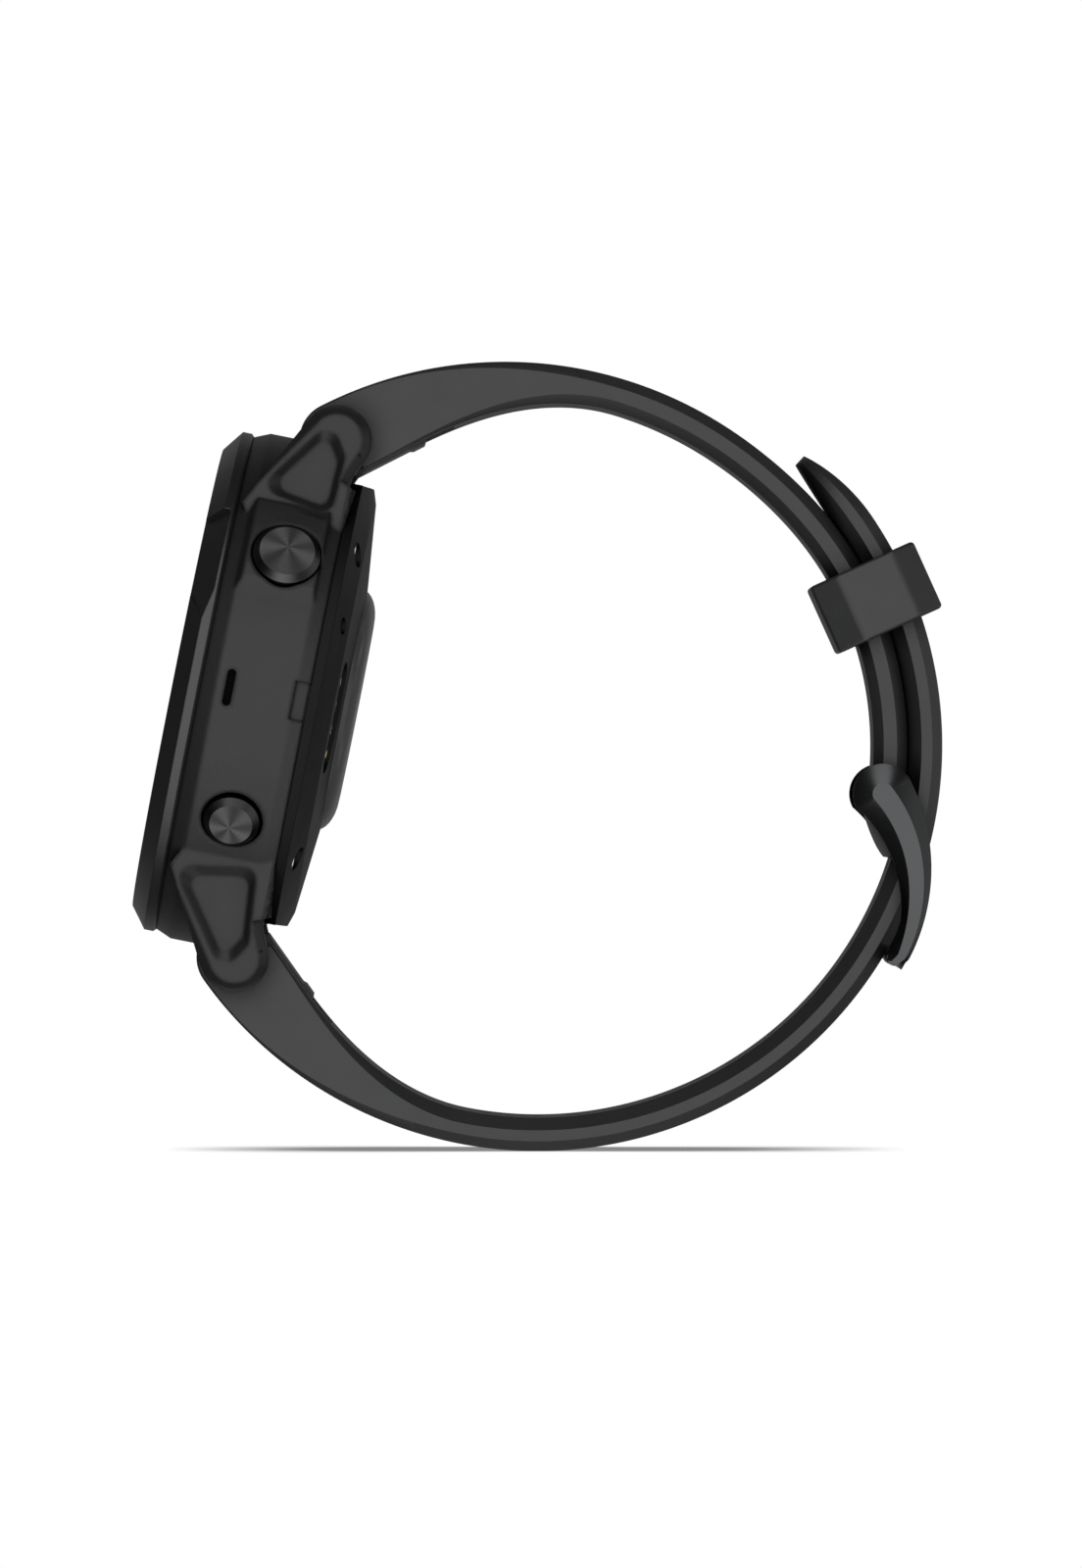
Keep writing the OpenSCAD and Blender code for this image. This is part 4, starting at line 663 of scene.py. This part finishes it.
# Soft pieces: the two strap halves and the keeper
def hole_cutter(name, deg):
    """Long hole through the long half, along the strap."""
    c = LOWER_C + (LOWER_R - STRAP_T / 2) * flat_dir(deg)
    e = flat_dir(deg)
    t = flat_dir(deg + 90)
    steps = 12
    half = (HOLE_L - HOLE_W) / 2
    outline = []
    for side in (1, -1):
        for k in range(steps + 1):
            a = math.radians(90 - 180 * k / steps)
            along = side * (half + HOLE_W / 2 * math.cos(a))
            outline.append((along, side * HOLE_W / 2 * math.sin(a)))
    rings = []
    for out in (-HOLE_REACH, HOLE_REACH):
        ring = []
        for along, y in outline:
            p = c + e * out * STRAP_T + t * along
            ring.append((p[0], y, p[1]))
        rings.append(ring)
    return loft(name, rings)


def latch_frame(half):
    """Origin, slide direction and direction towards the wrist of a strap half's latch."""
    bar = BARS[half]
    axis = joints[half + "_release"]["axis"]
    x = Vector((axis[0], axis[2]))
    z = Vector((-x[1], x[0]))
    if z.dot(-bar) < 0:
        z = -z
    return bar, x, z


def slide_cutter(name, at, x0, x1, outline):
    """Cutter along a latch's slide, from an outline of widths and heights in the latch's frame."""
    origin, x, z = at
    rings = []
    for u in (x0, x1):
        spots = [(origin + x * u + z * w, y) for y, w in outline]
        rings.append([(p[0], y, p[1]) for p, y in spots])
    return loft(name, rings)


def hook_cutters(half):
    """Bar bore, hook opening, latch pocket with its rail grooves, its mouth and the spring's bore."""
    at = latch_frame(half)
    w = BAR_R + HOOK_GAP
    z0, z1, top = RAIL_Z - LATCH_GAP, RAIL_Z + RAIL_T + LATCH_GAP, HOOK_REACH
    m = LATCH_W / 2 + LATCH_GAP
    r = m + RAIL_W
    pocket = [(-r, z0), (r, z0), (r, z1), (m, z1), (m, top), (-m, top), (-m, z1), (-r, z1)]
    mouth = [(-m, RAIL_Z), (m, RAIL_Z), (m, top), (-m, top)]
    opening = [(-STRAP_W, 0), (STRAP_W, 0), (STRAP_W, top), (-STRAP_W, top)]
    steps = 32
    turns = [flat_dir(360 * k / steps) * SPRING_BORE for k in range(steps)]
    bore = [(d[0], RAIL_Z + RAIL_T / 2 + d[1]) for d in turns]
    return [
        bar_along_y("cut", at[0], w, -STRAP_W, STRAP_W),
        slide_cutter("cut", at, -w, w, opening),
        slide_cutter("cut", at, -LATCH_NOSE - LATCH_GAP, LATCH_L + LATCH_TRAVEL + LATCH_GAP, pocket),
        slide_cutter("cut", at, -HOOK_REACH, -w / 2, mouth),
        slide_cutter("cut", at, LATCH_L, LATCH_L + LATCH_SPRING_L, bore),
    ]


def root_bar(name, bar):
    y = STRAP_W / 2 - ROOT_INSET
    return bar_along_y(name, bar, ROOT_R, -y, y, ROOT_BEVEL)


def lip_outline():
    """Lip under the barrel, up to the tail it closes on."""
    a = PIN + BARREL_R * flat_dir(LIP_A0)
    b = a + LIP_RUN * flat_dir(LIP_A0 + 90)
    c = LIP_AT - Vector((LIP_T, 0))
    steps = 16
    curve = []
    for k in range(steps + 1):
        t = k / steps
        curve.append((1 - t) ** 2 * a + 2 * t * (1 - t) * b + t * t * c)
    return [PIN] + curve + [LIP_AT, PIN + BARREL_R * flat_dir(LIP_A1)]


def upper_strap():
    """Short half: strap, root and the barrel for the pin, with its lip."""
    steps = 150
    rings = [upper_ring(UPPER_A1 + (UPPER_A0 - UPPER_A1) * k / steps) for k in range(steps + 1)]
    strap = loft("strap_short_half", rings)
    y = TAIL_W / 2
    inset = STRAP_BEVEL / 2
    combine(strap, [root_bar("add", UPPER_BAR), bar_along_y("add", PIN, BARREL_R, -y, y, inset),
                    prism_along_y("add", lip_outline(), inset - y, y - inset)], "UNION")
    x0, x1 = PIN[0] - BARREL_R, PIN[0] + STRAP_W
    z0, z1 = LIP_Z - STRAP_W, PIN[1]
    notch = [(x0, z0), (x1, z0), (x1, z1), (x0, z1)]
    cuts = hook_cutters("upper")
    cuts.append(bar_along_y("cut", PIN, PIN_R + RUN_GAP, -STRAP_W, STRAP_W))
    cuts.append(bar_along_y("cut", PIN, BARREL_R + BARREL_GAP, -SLOT_Y, SLOT_Y))
    cuts.append(prism_along_y("cut", notch, -SLOT_Y, SLOT_Y))
    combine(strap, cuts, "DIFFERENCE")
    return strap


def lower_strap():
    """Long half: strap with its holes, root, and the tail with its rounded tip."""
    steps = 220
    tip_steps = 40
    run = LOWER_A1 - TIP_DEG - LOWER_A0
    angles = [LOWER_A0 + run * k / steps for k in range(steps + 1)]
    angles += [LOWER_A1 - TIP_DEG * (1 - k / tip_steps) ** 2 for k in range(1, tip_steps + 1)]
    strap = loft("strap_long_half", [lower_ring(a) for a in angles])
    combine(strap, [root_bar("add", LOWER_BAR)], "UNION")
    pitch = math.degrees(HOLE_PITCH / (LOWER_R - STRAP_T / 2))
    cuts = hook_cutters("lower")
    cuts += [hole_cutter("cut", HOLE_DEG + k * pitch) for k in HOLES]
    combine(strap, cuts, "DIFFERENCE")
    return strap


def keeper():
    """Soft loop over both strap layers."""
    centre = (LOWER_C + UPPER_C) / 2
    e = flat_dir(KEEPER_DEG)
    t = flat_dir(KEEPER_DEG + 90)
    sag = KEEPER_L * KEEPER_L / 8 / LOWER_R
    x0 = upper_ro(KEEPER_DEG) - STRAP_T + (UPPER_C - centre).dot(e) - sag - KEEPER_GAP
    x1 = lower_ro(KEEPER_DEG + 360) + (LOWER_C - centre).dot(e) + KEEPER_GAP
    y0 = TAIL_W / 2 + KEEPER_GAP
    y1 = y0 + KEEPER_SIDE
    a = x0 - KEEPER_IN
    b = x1 + KEEPER_OUT
    flank = [(a, y1 - KEEPER_BEVEL_Y), (a + KEEPER_BEVEL_IN, y1),
             (b - KEEPER_BEVEL_OUT, y1), (b, y1 - KEEPER_BEVEL_Y)]
    outer = [(r, -y) for r, y in flank] + flank[::-1]
    window = [(x0, -y0), (x1, -y0), (x1, y0), (x0, y0)]

    def ring(outline, h):
        spots = [(centre + e * r + t * h, y) for r, y in outline]
        return [(p[0], y, p[1]) for p, y in spots]

    h = KEEPER_L / 2
    body = loft("keeper_loop", [ring(outer, -h), ring(outer, h)])
    combine(body, [loft("cut", [ring(window, -2 * h), ring(window, 2 * h)])], "DIFFERENCE")
    return body


# Buckle frame: the arms' cones and bands, finer than the solid's facets
BOW_C = PIN - (BOW_R - HEAD_R) * flat_dir(BOW_A0)
ARM_Y0 = TAIL_W / 2 + ARM_GAP
ARM_Y1 = ARM_Y0 + ARM_T


def arm_outlines():
    """Four outlines of an arm with heights: back face, back rim, front rim and flat strip."""
    steps = 96
    back, rim, strip, tops = [], [], [], []

    def add(c, e, r_rim, r_strip, inset, y):
        back.append(c + (r_rim - inset) * e)
        rim.append(c + r_rim * e)
        strip.append(c + r_strip * e)
        tops.append(y)

    def along(k, inner):
        a = BOW_A1 + (BOW_A0 - BOW_A1) * k / steps
        u = k / steps
        end = 1 - smooth(BOW_A1, BOW_A1 + ARM_ROUND_DEG, a)
        grow = max(0.0, (a + BOW_BLEND - BOW_A0) / BOW_BLEND) ** ARM_POWER
        w = ARM_TIP * (1 - ARM_ROUND * end) + (2 * HEAD_R - ARM_TIP) * grow
        r = BOW_R - ARM_TIP * ARM_ROUND / 2 * end
        band = BAND_TIP + (HEAD_R - STRIP_HEAD / 2 - BAND_TIP) * u ** 2
        flat = STRIP_TIP + (STRIP_HEAD - STRIP_TIP) * u ** STRIP_POWER
        b = min(ARM_BEVEL, w / 3)
        y = ARM_Y1 - STRIP_FALL * (1 - smooth(BOW_A1, BOW_A1 + STRIP_FALL_DEG, a))
        if inner:
            add(BOW_C, flat_dir(a), r - w, r - band - flat, -b, y)
        else:
            add(BOW_C, flat_dir(a), r, r - band, b, y)

    for k in range(steps):
        along(k, False)
    for k in range(steps + 1):
        add(PIN, flat_dir(BOW_A0 + 180 * k / steps), HEAD_R, STRIP_HEAD / 2, ARM_BEVEL, ARM_Y1)
    for k in range(steps - 1, -1, -1):
        along(k, True)
    n = len(rim)
    front = [ARM_Y1 - ARM_SLOPE] * n
    return [(back, [ARM_Y0] * n), (rim, [ARM_Y0 + ARM_BEVEL] * n), (rim, front), (strip, tops)]


def buckle_arm(side):
    """Arm on one side, with a blind bore for the pin."""
    rings = []
    for outline, heights in arm_outlines():
        rings.append([(p[0], side * y, p[1]) for p, y in zip(outline, heights)])
    arm = loft("arm", rings)
    ends = sorted((side * (ARM_Y0 - ARM_T), side * (ARM_Y1 - PIN_COVER)))
    combine(arm, [bar_along_y("cut", PIN, PIN_R, *ends)], "DIFFERENCE")
    return arm


def buckle_frame():
    """Two arms and the end bar, which is thinner where the tongue rests on it."""
    bow = buckle_arm(-1)
    bow.name = "buckle_bow"
    bar = BOW_C + (BOW_R - END_BAR_IN) * flat_dir(BOW_A1 + END_BAR_DEG)
    y = ARM_Y0 + ARM_BEVEL
    adds = [buckle_arm(1), bar_along_y("add", bar, SADDLE_R, -y, y)]
    adds.append(bar_along_y("add", bar, END_BAR_R, SLOT_Y, y))
    adds.append(bar_along_y("add", bar, END_BAR_R, -y, -SLOT_Y))
    combine(bow, adds, "UNION")
    return bow


# Own pieces by the node they replace: body they ride on, slot and edge radius
OWN = {
    "upper_strap": (upper_strap(), "watch", "strap_silicone", STRAP_EDGE),
    "lower_strap": (lower_strap(), "watch", "strap_silicone", STRAP_EDGE),
    "keeper": (keeper(), "keeper_body", "strap_silicone", KEEPER_EDGE),
    "buckle_frame": (buckle_frame(), "buckle", "buckle_metal", BUCKLE_EDGE),
}
for node, (piece, body, slot, radius) in OWN.items():
    soften(piece, radius)
    piece.data.materials.clear()
    piece.data.materials.append(FINISHES[slot])
    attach(piece, body)
    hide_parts(node)

# Rigid pieces: the CAD nodes with their finish; the pin is shown with the buckle's dark coat
SLOT_OF = {s["node"]: s["material_slot"] for s in frame["record"]["subparts"]}
SLOT_OF["buckle_pin"] = "buckle_metal"
for node, obj in nodes.items():
    if node in OWN:
        continue
    obj.data.materials.clear()
    obj.data.shade_smooth()
    if node.endswith("_button"):
        key = node.split("_")[0]
        out = -Vector(joints[key + "_press"]["axis"])
        obj.data.materials.append(spun_with_painted_sheen("spun_" + key, node, out))
        continue
    obj.data.materials.append(FINISHES[SLOT_OF[node]])


# Floor, backdrop and lights
def floor():
    """Pale floor under the loop, white for the camera but for the shade near the object."""
    half = FLOOR_HALF * MM
    z = cad_box[0][2]
    corners = [(-half, -half, z), (half, -half, z), (half, half, z), (-half, half, z)]
    mesh = bpy.data.meshes.new("floor")
    mesh.from_pydata(corners, [], [(0, 1, 2, 3)])
    obj = bpy.data.objects.new("floor", mesh)
    scene.collection.objects.link(obj)
    f = Finish("floor", Roughness=0.9, Specular_IOR_Level=0.1)
    f.feed("Base Color", f.blend(f.span(f.noise(size=40.0)), grey(0.6), grey(0.64)))
    near = f.openness(FLOOR_SHADE_REACH, samples=16)
    strength = f.span(near, low=0.25, high=1.0, start=0.35, end=0.95)
    glow = f.add("ShaderNodeEmission", {"Color": WHITE, "Strength": strength})
    camera_ray = f.add("ShaderNodeLightPath").outputs["Is Camera Ray"]
    links = {0: camera_ray, 1: f.bsdf.outputs[0], 2: glow.outputs[0]}
    mixed = f.add("ShaderNodeMixShader", links)
    output = f.tree.nodes["Material Output"]
    f.tree.links.new(mixed.outputs[0], output.inputs["Surface"])
    mesh.materials.append(f.material)
    obj.visible_diffuse = False
    obj.visible_glossy = False
    obj.visible_shadow = False


def world():
    """White backdrop for the camera, a dimmer one for reflections on that side, and a dim room elsewhere."""
    w = bpy.data.worlds.new("studio")
    scene.world = w
    w.use_nodes = True
    tree = w.node_tree
    tree.nodes.clear()

    def add(kind, **values):
        node = tree.nodes.new(kind)
        for name, value in values.items():
            setattr(node, name, value)
        return node

    out = add("ShaderNodeOutputWorld")
    path = add("ShaderNodeLightPath")
    where = add("ShaderNodeTexCoord")
    split = add("ShaderNodeSeparateXYZ")
    behind = add("ShaderNodeMapRange", interpolation_type="SMOOTHSTEP")
    behind.inputs["From Min"].default_value = BACKDROP_FROM
    behind.inputs["From Max"].default_value = BACKDROP_FULL
    behind.inputs["To Min"].default_value = ROOM_LIGHT
    behind.inputs["To Max"].default_value = BACKDROP_GLOSS
    seen = add("ShaderNodeMath", operation="MAXIMUM")
    pick = add("ShaderNodeMix", data_type="FLOAT")
    room = add("ShaderNodeMix", data_type="FLOAT")
    shade = add("ShaderNodeBackground")
    shade.inputs["Color"].default_value = WHITE
    room.inputs["A"].default_value = ROOM_LIGHT
    pick.inputs["B"].default_value = 1.0
    tree.links.new(where.outputs["Generated"], split.inputs[0])
    tree.links.new(split.outputs["Y"], behind.inputs["Value"])
    tree.links.new(path.outputs["Is Glossy Ray"], seen.inputs[0])
    tree.links.new(path.outputs["Is Transmission Ray"], seen.inputs[1])
    tree.links.new(seen.outputs[0], room.inputs["Factor"])
    tree.links.new(behind.outputs["Result"], room.inputs["B"])
    tree.links.new(path.outputs["Is Camera Ray"], pick.inputs["Factor"])
    tree.links.new(room.outputs[0], pick.inputs["A"])
    tree.links.new(pick.outputs[0], shade.inputs["Strength"])
    tree.links.new(shade.outputs[0], out.inputs["Surface"])


def softbox(name, at, aim, width, height, power):
    """Soft area light that the camera doesn't see."""
    light = bpy.data.lights.new(name, "AREA")
    light.shape = "RECTANGLE"
    light.size = width * MM
    light.size_y = height * MM
    light.energy = power
    obj = bpy.data.objects.new(name, light)
    scene.collection.objects.link(obj)
    obj.location = Vector(at) * MM
    obj.rotation_euler = (Vector(aim) - Vector(at)).to_track_quat("-Z", "Y").to_euler()
    obj.visible_camera = False


floor()
world()
for light_name, setting in LIGHTS.items():
    softbox(light_name, **setting)

# Camera
camera = bpy.data.cameras.new("camera")
camera.sensor_fit = "VERTICAL"
camera.sensor_height = SENSOR_H
camera.lens = SENSOR_H * -CAMERA_AT[1] / (IMAGE_H * MM_PER_PIXEL)
camera.clip_start = CLIP_START * MM
camera.clip_end = CLIP_END * MM
eye = bpy.data.objects.new("camera", camera)
eye.location = [c * MM for c in CAMERA_AT]
eye.rotation_euler = (math.radians(90), 0, 0)
scene.collection.objects.link(eye)
scene.camera = eye
scene.view_settings.view_transform = "Standard"
